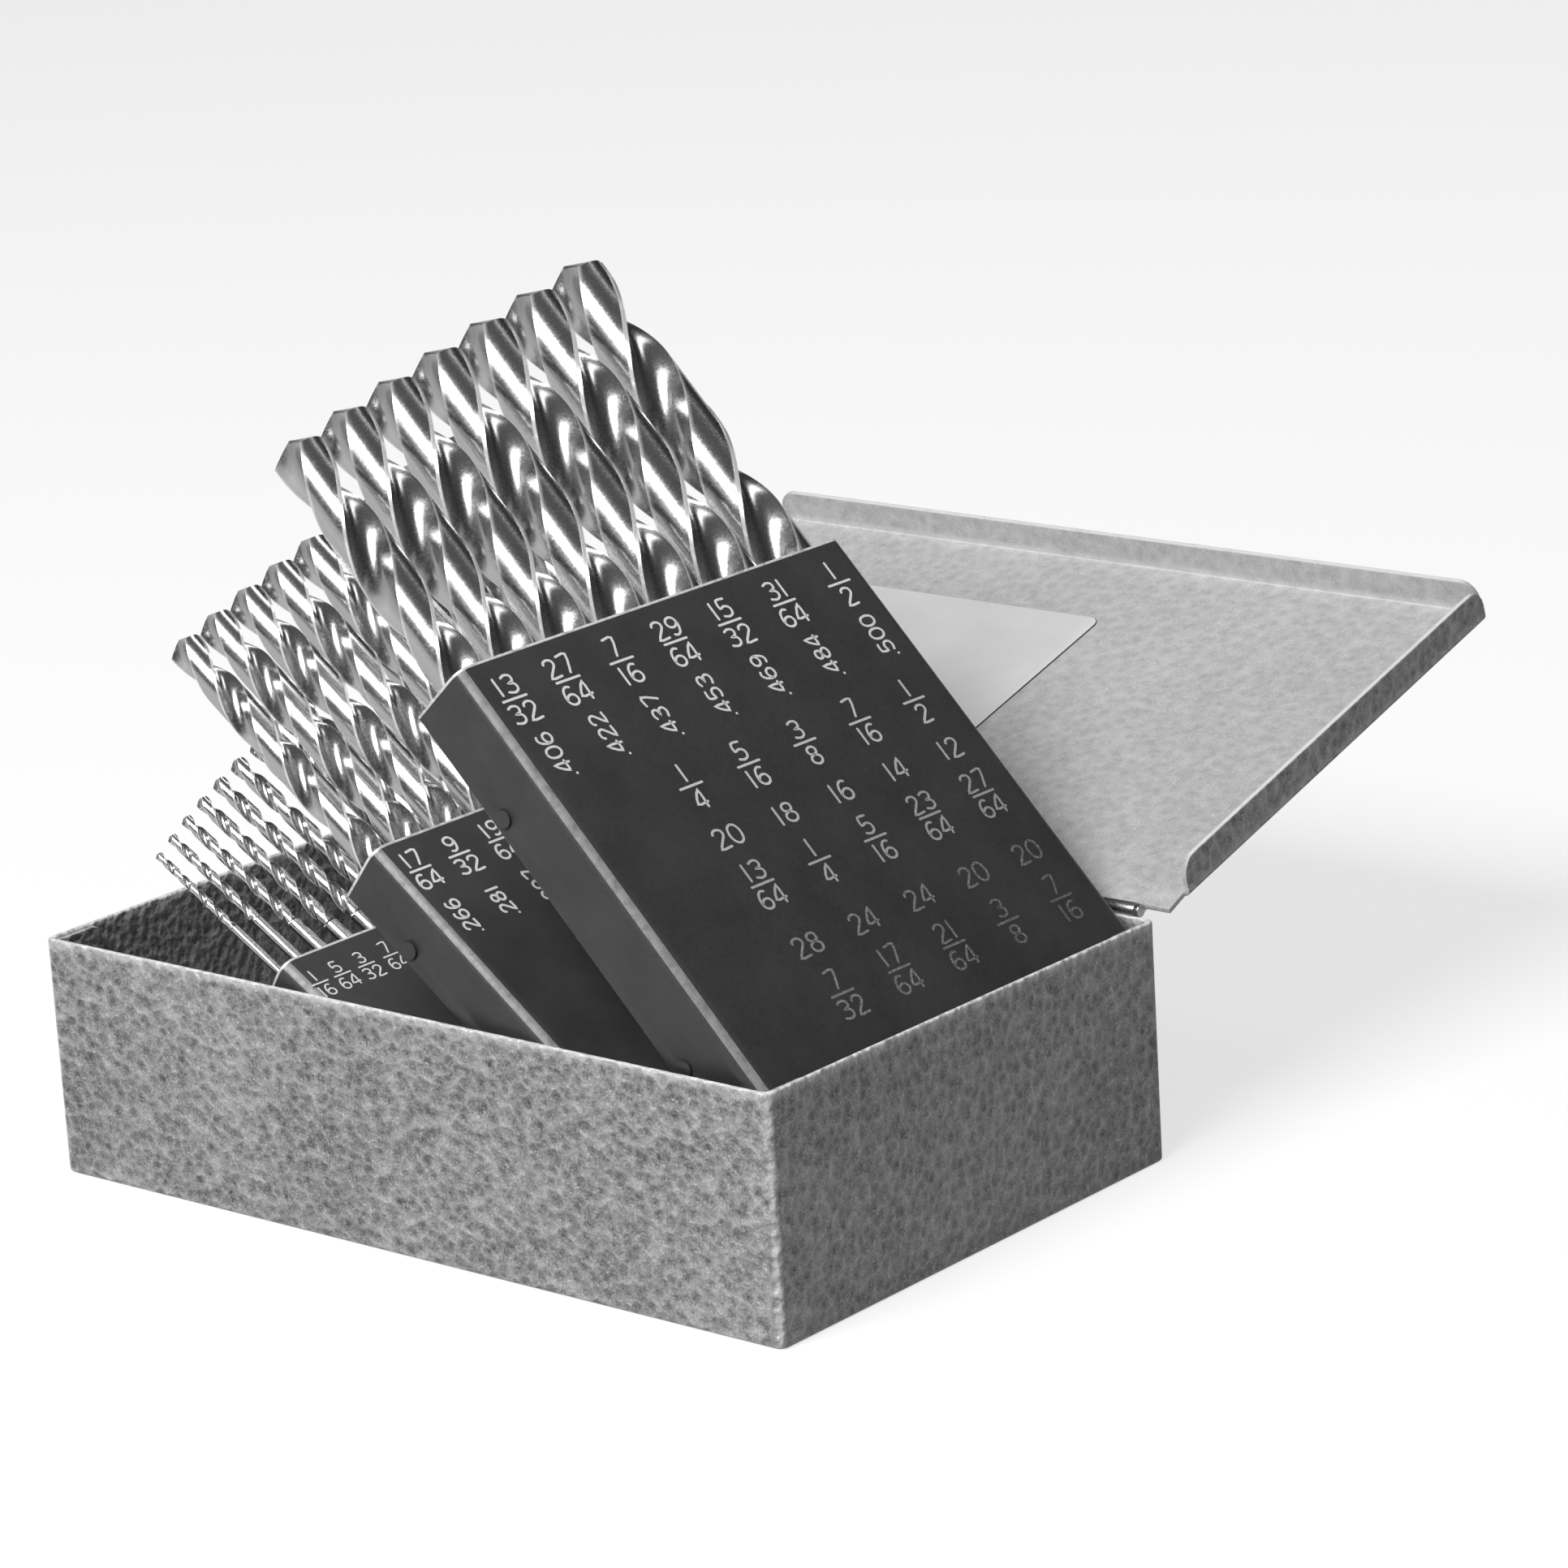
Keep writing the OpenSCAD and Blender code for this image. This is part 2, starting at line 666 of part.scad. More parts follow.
module small_rack_rivets() {
    on_small() {
        rack_rivets(small_axis_n, small_depth, [rivet_x(small_l, small_guide_depth)]);
        color(bright) small_seat_rivets(rivet_r, rivet_head_h);
    }
}

// One ring of a drill's fluted part: flutes deepen along the run-out, then turn with the lead
function flute_ring(outline, r, z, turn, deep) = [
    for (half = [0, 180], p = outline)
        let (a = p[0] + half + turn, rr = r * (1 - (1 - p[1]) * deep))
            [rr * cos(a), rr * sin(a), z]
];
function point_ring(outline, r, tip_z, turn) = [
    for (half = [0, 180], p = outline)
        let (a = p[0] + half + turn, rr = r * p[1])
            [rr * cos(a), rr * sin(a), tip_z - rr / tan(point_angle / 2)]
];

// A twist drill that stands on z = 0 with its point up
module twist_drill(d, length, flutes, outline, steps) {
    r = d / 2;
    n = 2 * len(outline);
    shank_l = length - flutes;
    corner_z = length - r / tan(point_angle / 2);
    z0 = shank_l - root_depth;
    run = corner_z - z0;
    rings = [
        for (k = [0 : steps])
            let (z = z0 + run * k / steps, turn = tip_turn + 360 * (z - length) / (flute_lead * d))
                k == 0
                    ? flute_ring(outline, root_share * r, z, turn, 0)
                    : k < steps
                        ? flute_ring(outline, r, z, turn, min(1, k / run_out_steps))
                        : point_ring(outline, r, length, turn)
    ];
    points = concat([for (ring = rings) each ring], [[0, 0, z0], [0, 0, length]]);
    foot = (steps + 1) * n;
    sides = [
        for (k = [0 : steps - 1], j = [0 : n - 1])
            let (a = k * n + j, b = k * n + (j + 1) % n)
                each [[a, a + n, b + n], [a, b + n, b]]
    ];
    caps = [
        for (j = [0 : n - 1])
            let (b = (j + 1) % n)
                each [[foot, j, b], [foot + 1, steps * n + b, steps * n + j]]
    ];
    union() {
        cylinder(r = r, h = shank_l, $fn = round_fn);
        polyhedron(points = points, faces = concat(sides, caps));
    }
}

// Drill i of a set, seated in its rack at the depth given below the label edge
module seated_drill(set, i, length, axis_n, depth, down, outline, steps) {
    color(bright)
        translate([-(length - down), drill_y(set, i), drill_n(axis_n, depth)]) rotate([0, -90, 0])
            twist_drill(drill_d(set, i), drill_l(set, i), flute_l(set, i), outline, steps);
}

module small_drill(i) {
    on_small() seated_drill(SMALL_SET, i, small_l, small_axis_n, small_depth, small_seat(i),
        PLAIN_HALF, plain_steps);
}
module middle_drill(i) {
    on_middle() seated_drill(MIDDLE_SET, i, middle_l, middle_axis_n, middle_depth, middle_seat(i),
        FINE_HALF, middle_steps);
}
module large_drill(i) {
    on_large() seated_drill(LARGE_SET, i, large_l, large_axis_n, large_depth, large_seat(i),
        FINE_HALF, fine_steps);
}

case_body();
case_hinge_leaf();
hinge_pin();
front_bracket();
back_bracket();
lid_panel();
lid_hinge_leaf();
lid_card();
large_pivot_rod();
large_rack_shell();
large_guide_plate();
large_seat_plate();
large_rack_rivets();
middle_pivot_rod();
middle_rack_shell();
middle_guide_plate();
middle_seat_plate();
middle_rack_rivets();
small_pivot_rod();
small_rack_shell();
small_guide_plate();
small_seat_plate();
small_rack_rivets();
small_drill(0);  // drill_1_16
small_drill(1);  // drill_5_64
small_drill(2);  // drill_3_32
small_drill(3);  // drill_7_64
small_drill(4);  // drill_1_8
small_drill(5);  // drill_9_64
small_drill(6);  // drill_5_32
small_drill(7);  // drill_11_64
small_drill(8);  // drill_3_16
small_drill(9);  // drill_13_64
small_drill(10);  // drill_7_32
small_drill(11);  // drill_15_64
small_drill(12);  // drill_1_4
middle_drill(0);  // drill_17_64
middle_drill(1);  // drill_9_32
middle_drill(2);  // drill_19_64
middle_drill(3);  // drill_5_16
middle_drill(4);  // drill_21_64
middle_drill(5);  // drill_11_32
middle_drill(6);  // drill_23_64
middle_drill(7);  // drill_3_8
middle_drill(8);  // drill_25_64
large_drill(0);  // drill_13_32
large_drill(1);  // drill_27_64
large_drill(2);  // drill_7_16
large_drill(3);  // drill_29_64
large_drill(4);  // drill_15_32
large_drill(5);  // drill_31_64
large_drill(6);  // drill_1_2
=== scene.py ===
"""Drill bit case: hammertone box with an open lid and three raised racks of twist drills."""
import json
import math

import bmesh
import bpy
from mathutils import Matrix, Vector, noise


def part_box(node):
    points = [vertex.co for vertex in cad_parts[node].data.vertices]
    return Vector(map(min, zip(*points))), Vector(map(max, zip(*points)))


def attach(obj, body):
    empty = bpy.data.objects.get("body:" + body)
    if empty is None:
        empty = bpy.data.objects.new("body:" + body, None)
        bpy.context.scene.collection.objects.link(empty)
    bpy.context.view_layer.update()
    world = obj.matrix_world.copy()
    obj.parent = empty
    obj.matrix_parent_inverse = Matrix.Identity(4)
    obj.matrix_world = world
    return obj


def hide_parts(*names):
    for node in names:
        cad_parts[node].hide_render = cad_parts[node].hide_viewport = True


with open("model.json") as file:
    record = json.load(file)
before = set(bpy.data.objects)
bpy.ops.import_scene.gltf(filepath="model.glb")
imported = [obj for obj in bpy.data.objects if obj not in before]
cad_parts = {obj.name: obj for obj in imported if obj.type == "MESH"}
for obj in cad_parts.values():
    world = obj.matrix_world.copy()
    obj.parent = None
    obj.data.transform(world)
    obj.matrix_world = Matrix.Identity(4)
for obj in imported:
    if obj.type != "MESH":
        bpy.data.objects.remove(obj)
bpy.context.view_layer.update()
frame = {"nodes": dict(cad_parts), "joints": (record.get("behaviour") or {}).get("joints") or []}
scene = bpy.context.scene
MM = 0.001
JOINTS = {joint["name"]: joint for joint in frame["joints"]}

# Camera: the photograph's viewing angle, for an image 1932 pixels wide
IMAGE_PX = 1932
FOCAL_PX = 7225.8
SENSOR_MM = 36
CAM_AZIMUTH = math.radians(-49.46)
CAM_ELEVATION = math.radians(16.05)
CAM_ROLL = math.radians(-3.46)
CAM_DISTANCE = 1107.5 * MM
CAM_ACROSS = 33.0 * MM
CAM_UP = 72.1 * MM


def make_camera():
    """Looks along one fixed direction, shifted sideways and up so that the object sits as framed."""
    back = Vector((
        math.cos(CAM_ELEVATION) * math.cos(CAM_AZIMUTH),
        math.cos(CAM_ELEVATION) * math.sin(CAM_AZIMUTH),
        math.sin(CAM_ELEVATION),
    ))
    level = Vector((-math.sin(CAM_AZIMUTH), math.cos(CAM_AZIMUTH), 0))
    turn = Matrix.Rotation(CAM_ROLL, 3, back)
    right = turn @ level
    up = back.cross(right)
    data = bpy.data.cameras.new("camera")
    data.sensor_width = SENSOR_MM
    data.lens = FOCAL_PX / IMAGE_PX * SENSOR_MM
    data.clip_start = 0.05
    data.clip_end = 30
    cam = bpy.data.objects.new("camera", data)
    scene.collection.objects.link(cam)
    place = Matrix((right, up, back)).transposed().to_4x4()
    place.translation = back * CAM_DISTANCE + right * CAM_ACROSS + up * CAM_UP
    cam.matrix_world = place
    scene.camera = cam


# Places of a colour mix node's two inputs and of its output
MIX_A = 6
MIX_B = 7
MIX_RESULT = 2


class Nodes:
    """A short way to write a shader: every call adds a node and links its inputs."""

    def __init__(self, owner):
        owner.use_nodes = True
        self.tree = owner.node_tree
        self.tree.nodes.clear()

    def add(self, kind, inputs=None, **settings):
        node = self.tree.nodes.new(kind)
        for name, value in settings.items():
            setattr(node, name, value)
        for name, value in (inputs or {}).items():
            socket = node.inputs[name]
            if isinstance(value, bpy.types.NodeSocket):
                self.tree.links.new(value, socket)
            else:
                socket.default_value = value
        return node

    def ramp(self, factor, stops):
        node = self.add("ShaderNodeValToRGB", {"Fac": factor})
        marks = node.color_ramp.elements
        while len(marks) < len(stops):
            marks.new(0.5)
        for mark, (place, shade) in zip(marks, stops):
            mark.position = place
            mark.color = (shade, shade, shade, 1)
        return node.outputs["Color"]

    def noise(self, where, size_mm, detail=3.0, roughness=0.5):
        node = self.add("ShaderNodeTexNoise", {
            "Vector": where, "Scale": 1 / (size_mm * MM), "Detail": detail, "Roughness": roughness})
        return node.outputs["Fac"]

    def math(self, operation, a, b):
        return self.add("ShaderNodeMath", {0: a, 1: b}, operation=operation).outputs[0]

    def mix(self, factor, a, b):
        inputs = {"Factor": factor, MIX_A: a, MIX_B: b}
        return self.add("ShaderNodeMix", inputs, data_type="RGBA").outputs[MIX_RESULT]

    def place(self):
        return self.add("ShaderNodeTexCoord").outputs["Object"]

    def attribute(self, name):
        return self.add("ShaderNodeAttribute", attribute_name=name).outputs["Fac"]

    def bump(self, height, depth_mm, after=None):
        inputs = {"Height": height, "Strength": 1.0, "Distance": depth_mm * MM}
        if after is not None:
            inputs["Normal"] = after
        return self.add("ShaderNodeBump", inputs).outputs["Normal"]

    def finish(self, inputs):
        shader = self.add("ShaderNodeBsdfPrincipled", inputs)
        out = self.add("ShaderNodeOutputMaterial")
        self.tree.links.new(shader.outputs[0], out.inputs["Surface"])


def grey(value):
    return (value, value, value, 1)


def hammertone(name, dark, light, grain_mm, depth_mm, metallic, edge_shade, coat, rough):
    """Hammered paint: rounded dimples, fine metal flakes, bare metal where edges are worn, and a painted
    highlight where folds are marked.
    """
    material = bpy.data.materials.new(name)
    n = Nodes(material)
    where = n.place()
    cells = n.add("ShaderNodeTexVoronoi", {
        "Vector": where, "Scale": 1 / (grain_mm * MM), "Smoothness": 0.45, "Randomness": 1.0},
        feature="SMOOTH_F1").outputs["Distance"]
    warp = n.noise(where, grain_mm * 1.1, 2, 0.5)
    broad = n.noise(where, 30, 2, 0.5)
    flakes = n.noise(where, 0.5, 3, 0.8)
    sparkle = n.ramp(n.noise(where, 0.45, 1, 0.5), [(0.66, 0.0), (0.74, 1.0)])
    height = n.math("ADD", n.math("MULTIPLY", cells, 0.6), n.math("MULTIPLY", warp, 0.8))
    pattern = n.math("ADD", n.math("MULTIPLY", height, 0.35), n.math("MULTIPLY", broad, 0.15))
    pattern = n.math("ADD", pattern, n.math("MULTIPLY", flakes, 0.6))
    base = n.ramp(pattern, [(0.42, dark), (0.78, light)])
    base = n.mix(n.math("MULTIPLY", sparkle, 0.6), base, grey(0.9))
    marked = n.attribute("edge")
    # Worn edges go to bare metal; marked folds get a painted highlight
    scuff_and_highlight = n.math("MULTIPLY", marked, n.ramp(n.noise(where, 3.2, 4, 0.7), [(0.25, 0.6), (0.5, 1.0)]))
    color = n.mix(scuff_and_highlight, base, grey(edge_shade))
    normal = n.bump(height, depth_mm)
    normal = n.bump(flakes, 0.02, normal)
    n.finish({"Base Color": color, "Metallic": metallic, "Normal": normal,
              "Roughness": n.ramp(flakes, [(0.35, rough), (0.7, rough * 1.4)]),
              "Coat Weight": coat, "Coat Roughness": 0.3})
    return material


def black_sheet(name, shade, edge_shade):
    """Thin black enamel over sheet steel, worn bright along sheared edges, with a painted highlight
    along bends.
    """
    material = bpy.data.materials.new(name)
    n = Nodes(material)
    where = n.place()
    fine = n.noise(where, 0.7, 3, 0.65)
    broad = n.noise(where, 14, 4, 0.6)
    base = n.ramp(n.math("ADD", n.math("MULTIPLY", broad, 0.7), n.math("MULTIPLY", fine, 0.3)),
                  [(0.35, shade * 0.8), (0.7, shade * 1.25)])
    # Cut edges show wear to bare metal; marked bends get a painted highlight
    marked = n.math("MULTIPLY", n.attribute("edge"), n.ramp(n.noise(where, 2.1, 4, 0.7),
                                                          [(0.3, 0.45), (0.55, 1.0)]))
    color = n.mix(marked, base, grey(edge_shade))
    normal = n.bump(n.math("ADD", fine, n.math("MULTIPLY", broad, 0.5)), 0.035)
    rough = n.ramp(fine, [(0.3, 0.36), (0.7, 0.5)])
    n.finish({"Base Color": color, "Metallic": n.math("MULTIPLY", marked, 0.2),
              "Roughness": rough, "Normal": normal})
    return material


def steel(name, shade, roughness, grain_mm, metallic=1.0):
    """Plain steel with fine machining marks and faint stains."""
    material = bpy.data.materials.new(name)
    n = Nodes(material)
    where = n.place()
    marks = n.noise(where, grain_mm, 4, 0.7)
    stains = n.noise(where, 6, 4, 0.6)
    color = n.ramp(stains, [(0.35, shade * 0.72), (0.65, shade)])
    rough = n.ramp(marks, [(0.35, roughness * 0.75), (0.7, roughness * 1.35)])
    n.finish({"Base Color": color, "Metallic": metallic, "Roughness": rough,
              "Normal": n.bump(marks, 0.012)})
    return material


def drill_steel():
    """Bright ground steel: margins painted near white as a painted highlight, flutes with a darker root
    and grinding lines.
    """
    material = bpy.data.materials.new("drill_steel")
    n = Nodes(material)
    where = n.place()
    flute = n.attribute("flute")
    margin = n.attribute("margin")
    grinding = n.noise(where, 0.5, 3, 0.7)
    smear = n.noise(where, 5, 4, 0.6)
    base = n.ramp(flute, [(0.0, 0.68), (0.45, 0.72), (1.0, 0.48)])
    base = n.mix(n.math("MULTIPLY", smear, 0.2), base, grey(0.4))
    # Painted highlight: the margins are near white and less metallic, so they show as bright lines under
    # any light
    color = n.mix(margin, base, grey(0.95))
    rough = n.ramp(grinding, [(0.35, 0.19), (0.7, 0.29)])
    n.finish({"Base Color": color, "Metallic": n.math("SUBTRACT", 1.0, n.math("MULTIPLY", margin, 0.55)),
              "Roughness": rough, "Normal": n.bump(grinding, 0.003)})
    return material


def card_stock():
    """Pale blank card with a soft mottle, fine fibres and a painted shadow along its edge."""
    material = bpy.data.materials.new("card")
    n = Nodes(material)
    where = n.place()
    fibres = n.noise(where, 0.5, 4, 0.7)
    mottle = n.noise(where, 12, 3, 0.5)
    color = n.ramp(n.math("ADD", n.math("MULTIPLY", mottle, 0.75), n.math("MULTIPLY", fibres, 0.25)),
                   [(0.3, 0.78), (0.7, 0.86)])
    # Painted shadow: the card's marked edge is darkened
    color = n.mix(n.attribute("edge"), color, grey(0.12))
    n.finish({"Base Color": color, "Roughness": n.ramp(fibres, [(0.3, 0.5), (0.7, 0.66)]),
              "Normal": n.bump(fibres, 0.015)})
    return material


def number_paint():
    """White filled numbers, greyer toward the rod end of the racks."""
    material = bpy.data.materials.new("number_white")
    n = Nodes(material)
    where = n.place()
    grain = n.noise(where, 0.35, 3, 0.7)
    fade = n.attribute("fade")
    marked = n.math("MULTIPLY", fade, n.ramp(grain, [(0.3, 0.75), (0.62, 1.25)]))
    color = n.ramp(marked, [(0.0, 0.95), (0.3, 0.62), (0.8, 0.1)])
    n.finish({"Base Color": color, "Roughness": n.ramp(grain, [(0.3, 0.45), (0.7, 0.65)]),
              "Normal": n.bump(grain, 0.01)})
    return material


def make_object(name, mesh, material):
    mesh.materials.clear()
    mesh.materials.append(material)
    piece = bpy.data.objects.new(name, mesh)
    scene.collection.objects.link(piece)
    return piece


def settle(piece, body, slot, *nodes):
    """Fixes a piece to its body and hides the nodes it stands for; the slot argument is not used."""
    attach(piece, body)
    if nodes:
        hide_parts(*nodes)


def shade(mesh, angle=30):
    mesh.shade_smooth()
    mesh.set_sharp_from_angle(angle=math.radians(angle))


def set_values(mesh, name, values):
    attribute = mesh.attributes.new(name, "FLOAT", "POINT")
    attribute.data.foreach_set("value", values)


# Points this near are one point, faces turned this little are one face, and sharper is an edge
WELD_WITHIN = 2e-6
JOIN_WITHIN = math.radians(0.6)
SHARP_ANGLE = math.radians(32)
# A face narrower than the limit, with sharp edges round most of it, is a sheet's cut edge
SHEET_LIMIT = 1.1 * MM
SHARP_SHARE = 0.85


def is_sheared(face):
    """A narrow face between sharp edges is the cut edge of a sheet."""
    lengths = [(e.calc_length(), e.calc_face_angle(0) > SHARP_ANGLE) for e in face.edges]
    around = sum(length for length, _ in lengths)
    sharp = sum(length for length, turned in lengths if turned)
    return 2 * face.calc_area() / around < SHEET_LIMIT and sharp > SHARP_SHARE * around


def refined(node, width_mm):
    """A copy of a node's mesh with joined faces and rounded edges; cut and bevelled edges are marked, as
    wear on most pieces and as a painted shadow on the card.
    """
    bm = bmesh.new()
    bm.from_mesh(frame["nodes"][node].data)
    bmesh.ops.remove_doubles(bm, verts=bm.verts, dist=WELD_WITHIN)
    bmesh.ops.dissolve_limit(bm, angle_limit=JOIN_WITHIN, verts=bm.verts, edges=bm.edges)
    corners = [e for e in bm.edges if len(e.link_faces) == 2 and e.calc_face_angle(0) > SHARP_ANGLE]
    marked = bm.faces.layers.float.new("edge")
    for face in bm.faces:
        face[marked] = 1.0 if is_sheared(face) else 0.0
    made = bmesh.ops.bevel(bm, geom=corners, offset=width_mm * MM, offset_type="OFFSET", segments=2,
                           profile=0.5, affect="EDGES", clamp_overlap=True)
    for face in made["faces"]:
        face[marked] = 1.0
    bmesh.ops.triangulate(bm, faces=[f for f in bm.faces if len(f.verts) > 4])
    mesh = bpy.data.meshes.new(node + "_mesh")
    bm.to_mesh(mesh)
    bm.free()
    shade(mesh)
    return mesh


def dress(node, body, slot, material, width_mm):
    piece = make_object(node.replace("_", "-"), refined(node, width_mm), material)
    settle(piece, body, slot, node)
    return piece


class Rack:
    """A rack's frame: x runs from the label edge to the rod, and z out of the label face."""

    def __init__(self, name):
        joint = JOINTS[name + "_tilt"]
        tilt = math.radians(-joint["range_deg"][0])
        self.body = name + "_rack"
        self.frame = Matrix.Translation(joint["pos_m"]) @ Matrix.Rotation(tilt, 4, "Y")
        low, high = self.box(name + "_rack_shell")
        self.edge_x = low.x
        self.face_z = high.z

    def box(self, node):
        """A node's lowest and highest corner in the rack's own frame."""
        inverse = self.frame.inverted()
        spots = [inverse @ v.co for v in frame["nodes"][node].data.vertices]
        low = Vector(min(p[i] for p in spots) for i in range(3))
        high = Vector(max(p[i] for p in spots) for i in range(3))
        return low, high


# A long bend's faces get a painted highlight where they lean between two angles, unless tiny or askew
BEND_HIGHLIGHT = 0.3
BEND_FROM = math.sin(math.radians(33))
BEND_TO = math.sin(math.radians(64))
BEND_SKEW = 0.02
BEND_LEAST_AREA = 5 * MM * MM
BARE_EDGE = 0.5 * MM


def wear_shell(piece, rack):
    """Bares a thin line along a rack's open edge, and paints a highlight on its long bends."""
    back = rack.frame.to_3x3()
    bm = bmesh.new()
    bm.from_mesh(piece.data)
    line = rack.edge_x + BARE_EDGE
    bmesh.ops.bisect_plane(bm, geom=bm.verts[:] + bm.edges[:] + bm.faces[:],
                           plane_co=rack.frame @ Vector((line, 0, 0)), plane_no=back.col[0])
    marked = bm.faces.layers.float["edge"]
    turn = back.inverted()
    inverse = rack.frame.inverted()
    for face in bm.faces:
        normal = turn @ face.normal
        in_bend = abs(normal.x) < BEND_SKEW and BEND_FROM < normal.z < BEND_TO
        if (inverse @ face.calc_center_median()).x < line:
            face[marked] = 1.0
        elif in_bend and face.calc_area() > BEND_LEAST_AREA:
            # Long bend faces get a painted highlight
            face[marked] = BEND_HIGHLIGHT
    bm.to_mesh(piece.data)
    bm.free()


# Shape of half a drill's section in radii: the flute from the cutting edge round to the heel
FLUTE_POINTS = [
    (1.0, 0.0), (0.82, 0.01), (0.64, 0.035), (0.48, 0.08), (0.35, 0.15), (0.24, 0.24), (0.15, 0.35),
    (0.08, 0.48), (0.02, 0.62), (-0.04, 0.76), (-0.1, 0.89), (-0.13, 0.956),
]
MARGIN_ANGLE = math.radians(9)
# Where the margin has its full radius, as shares of its width
MARGIN_STEPS = (0.12, 0.6)
LAND_CLEARANCE = 0.965
# The flutes' lead and run-out and the shank end's chamfer, in diameters
FLUTE_LEAD = 5.8
RUN_OUT = 1.3
SHANK_CHAMFER = 0.04
HALF_POINT = math.radians(59)
LIP_RELIEF = 0.05
# Steps across a flute and across a land, and degrees of twist from ring to ring
FINE_STEPS = (22, 8, 7.5)
COARSE_STEPS = (14, 5, 10)
FINE_ABOVE = 6.4 * MM
LEAST_RINGS = 24
POINT_RINGS = 5


def smooth_path(points, count):
    """Points at even steps along a Catmull-Rom curve through the given ones."""
    last = len(points) - 1
    path = []
    for k in range(count + 1):
        s = k / count * last
        i = min(int(s), last - 1)
        t = s - i
        p0, p1, p2, p3 = (Vector(points[min(max(i + d, 0), last)]) for d in (-1, 0, 1, 2))
        path.append(0.5 * (2 * p1 + (p2 - p0) * t + (2 * p0 - 5 * p1 + 4 * p2 - p3) * t * t
                           + (3 * p1 - p0 - 3 * p2 + p3) * t ** 3))
    return path


def drill_section(flute_steps, land_steps):
    """Half a section as [angle, radius, flute, margin], from the cutting edge over flute and land."""
    path = smooth_path(FLUTE_POINTS, flute_steps)
    half = []
    for k, p in enumerate(path):
        half.append((math.atan2(p.y, p.x), p.length, math.sin(math.pi * (k / flute_steps)),
                     1.0 if k in (0, flute_steps) else 0.0))
    start = half[-1][0]
    end = math.pi - MARGIN_ANGLE
    for k in range(1, land_steps + 1):
        half.append((start + (end - start) * k / land_steps, LAND_CLEARANCE, 0.0, 0.0))
    for share in MARGIN_STEPS:
        half.append((end + MARGIN_ANGLE * share, 1.0, 0.0, 1.0))
    return half


def drill_mesh(name, diameter, length, shank, phase):
    """A twist drill on z, its shank's end at 0: exact size, with margins, flutes and ground point."""
    r = diameter / 2
    flute_steps, land_steps, ring_turn = FINE_STEPS if diameter > FINE_ABOVE else COARSE_STEPS
    half = drill_section(flute_steps, land_steps)
    section = [(a + side * math.pi, rho, fl, mg) for side in (0, 1) for a, rho, fl, mg in half]
    n = len(section)
    lead = FLUTE_LEAD * diameter
    fluted = length - shank
    rings = max(LEAST_RINGS, int(fluted / lead * 360 / ring_turn))
    run_out = RUN_OUT * diameter
    verts = []
    flute_values = []
    margin_values = []

    def add(point, flute, margin):
        verts.append(point)
        flute_values.append(flute)
        margin_values.append(margin)

    chamfer = SHANK_CHAMFER * diameter
    around = [2 * math.pi * i / n for i in range(n)]
    for z, share in ((0, 1 - 2 * chamfer / diameter), (chamfer, 1), (shank * 0.5, 1), (shank, 1)):
        for a in around:
            add((r * share * math.cos(a + phase), r * share * math.sin(a + phase), z), 0, 0)
    for k in range(1, rings + 1):
        for i, (a, rho, fl, mg) in enumerate(section):
            behind = max(0.0, 1 - (a % math.pi) / math.pi)
            top = length - r * rho / math.tan(HALF_POINT) - LIP_RELIEF * r * behind * rho
            z = shank + (top - shank) * k / rings
            deep = min(1.0, (z - shank) / run_out)
            deep = deep * deep * (3 - 2 * deep)
            rr = r * (1 - (1 - rho) * deep)
            even = around[i]
            angle = even + (a - even) * deep + phase + 2 * math.pi * (z - length) / lead
            add((rr * math.cos(angle), rr * math.sin(angle), z), fl * deep, mg * deep)
    for k in range(1, POINT_RINGS):
        share = 1 - k / POINT_RINGS
        for a, rho, fl, mg in section:
            behind = max(0.0, 1 - (a % math.pi) / math.pi)
            rr = rho * share
            z = length - r * rr / math.tan(HALF_POINT) - LIP_RELIEF * r * behind * rr
            angle = a + phase + 2 * math.pi * (z - length) / lead
            add((r * rr * math.cos(angle), r * rr * math.sin(angle), z), 0, 0)
    add((0, 0, length), 0, 0)
    add((0, 0, 0), 0, 0)
    loops = (len(verts) - 2) // n
    faces = []
    for k in range(loops - 1):
        for i in range(n):
            j = (i + 1) % n
            faces.append((k * n + i, k * n + j, (k + 1) * n + j, (k + 1) * n + i))
    tip, foot = len(verts) - 2, len(verts) - 1
    for i in range(n):
        j = (i + 1) % n
        faces.append(((loops - 1) * n + i, (loops - 1) * n + j, tip))
        faces.append((j, i, foot))
    mesh = bpy.data.meshes.new(name)
    mesh.from_pydata(verts, [], faces)
    set_values(mesh, "flute", flute_values)
    set_values(mesh, "margin", margin_values)
    shade(mesh, 28)
    return mesh


# A full ring of a shank has at least this many points, this near its radius
RING_POINTS = 16
RING_WITHIN = 0.01 * MM
# Shank's length without two radii, where no such ring is found
USUAL_SHANK = 25.4 * MM


def shank_length(rack, node, r, low, high):
    """The shank ends at the first full ring of the node's points beyond two radii from its foot."""
    inverse = rack.frame.inverted()
    mid_y = (low.y + high.y) / 2
    mid_z = (low.z + high.z) / 2
    counts = {}
    for v in frame["nodes"][node].data.vertices:
        p = inverse @ v.co
        if abs(math.hypot(p.y - mid_y, p.z - mid_z) - r) < RING_WITHIN:
            key = round(p.x / MM, 1)
            counts[key] = counts.get(key, 0) + 1
    full = [x for x, count in counts.items() if count >= RING_POINTS and x * MM < high.x - 2 * r]
    return high.x - max(full) * MM if full else USUAL_SHANK + 2 * r


def build_drills(rack, names, material, phase):
    for node in names:
        low, high = rack.box(node)
        d = high.y - low.y
        shank = shank_length(rack, node, d / 2, low, high)
        mesh = drill_mesh(node + "_mesh", d, high.x - low.x, shank, phase)
        stand = Matrix.Translation((high.x, (low.y + high.y) / 2, (low.z + high.z) / 2))
        mesh.transform(rack.frame @ stand @ Matrix.Rotation(math.radians(-90), 4, "Y"))
        piece = make_object(node.replace("drill", "twist"), mesh, material)
        settle(piece, node, "drill_steel", node)


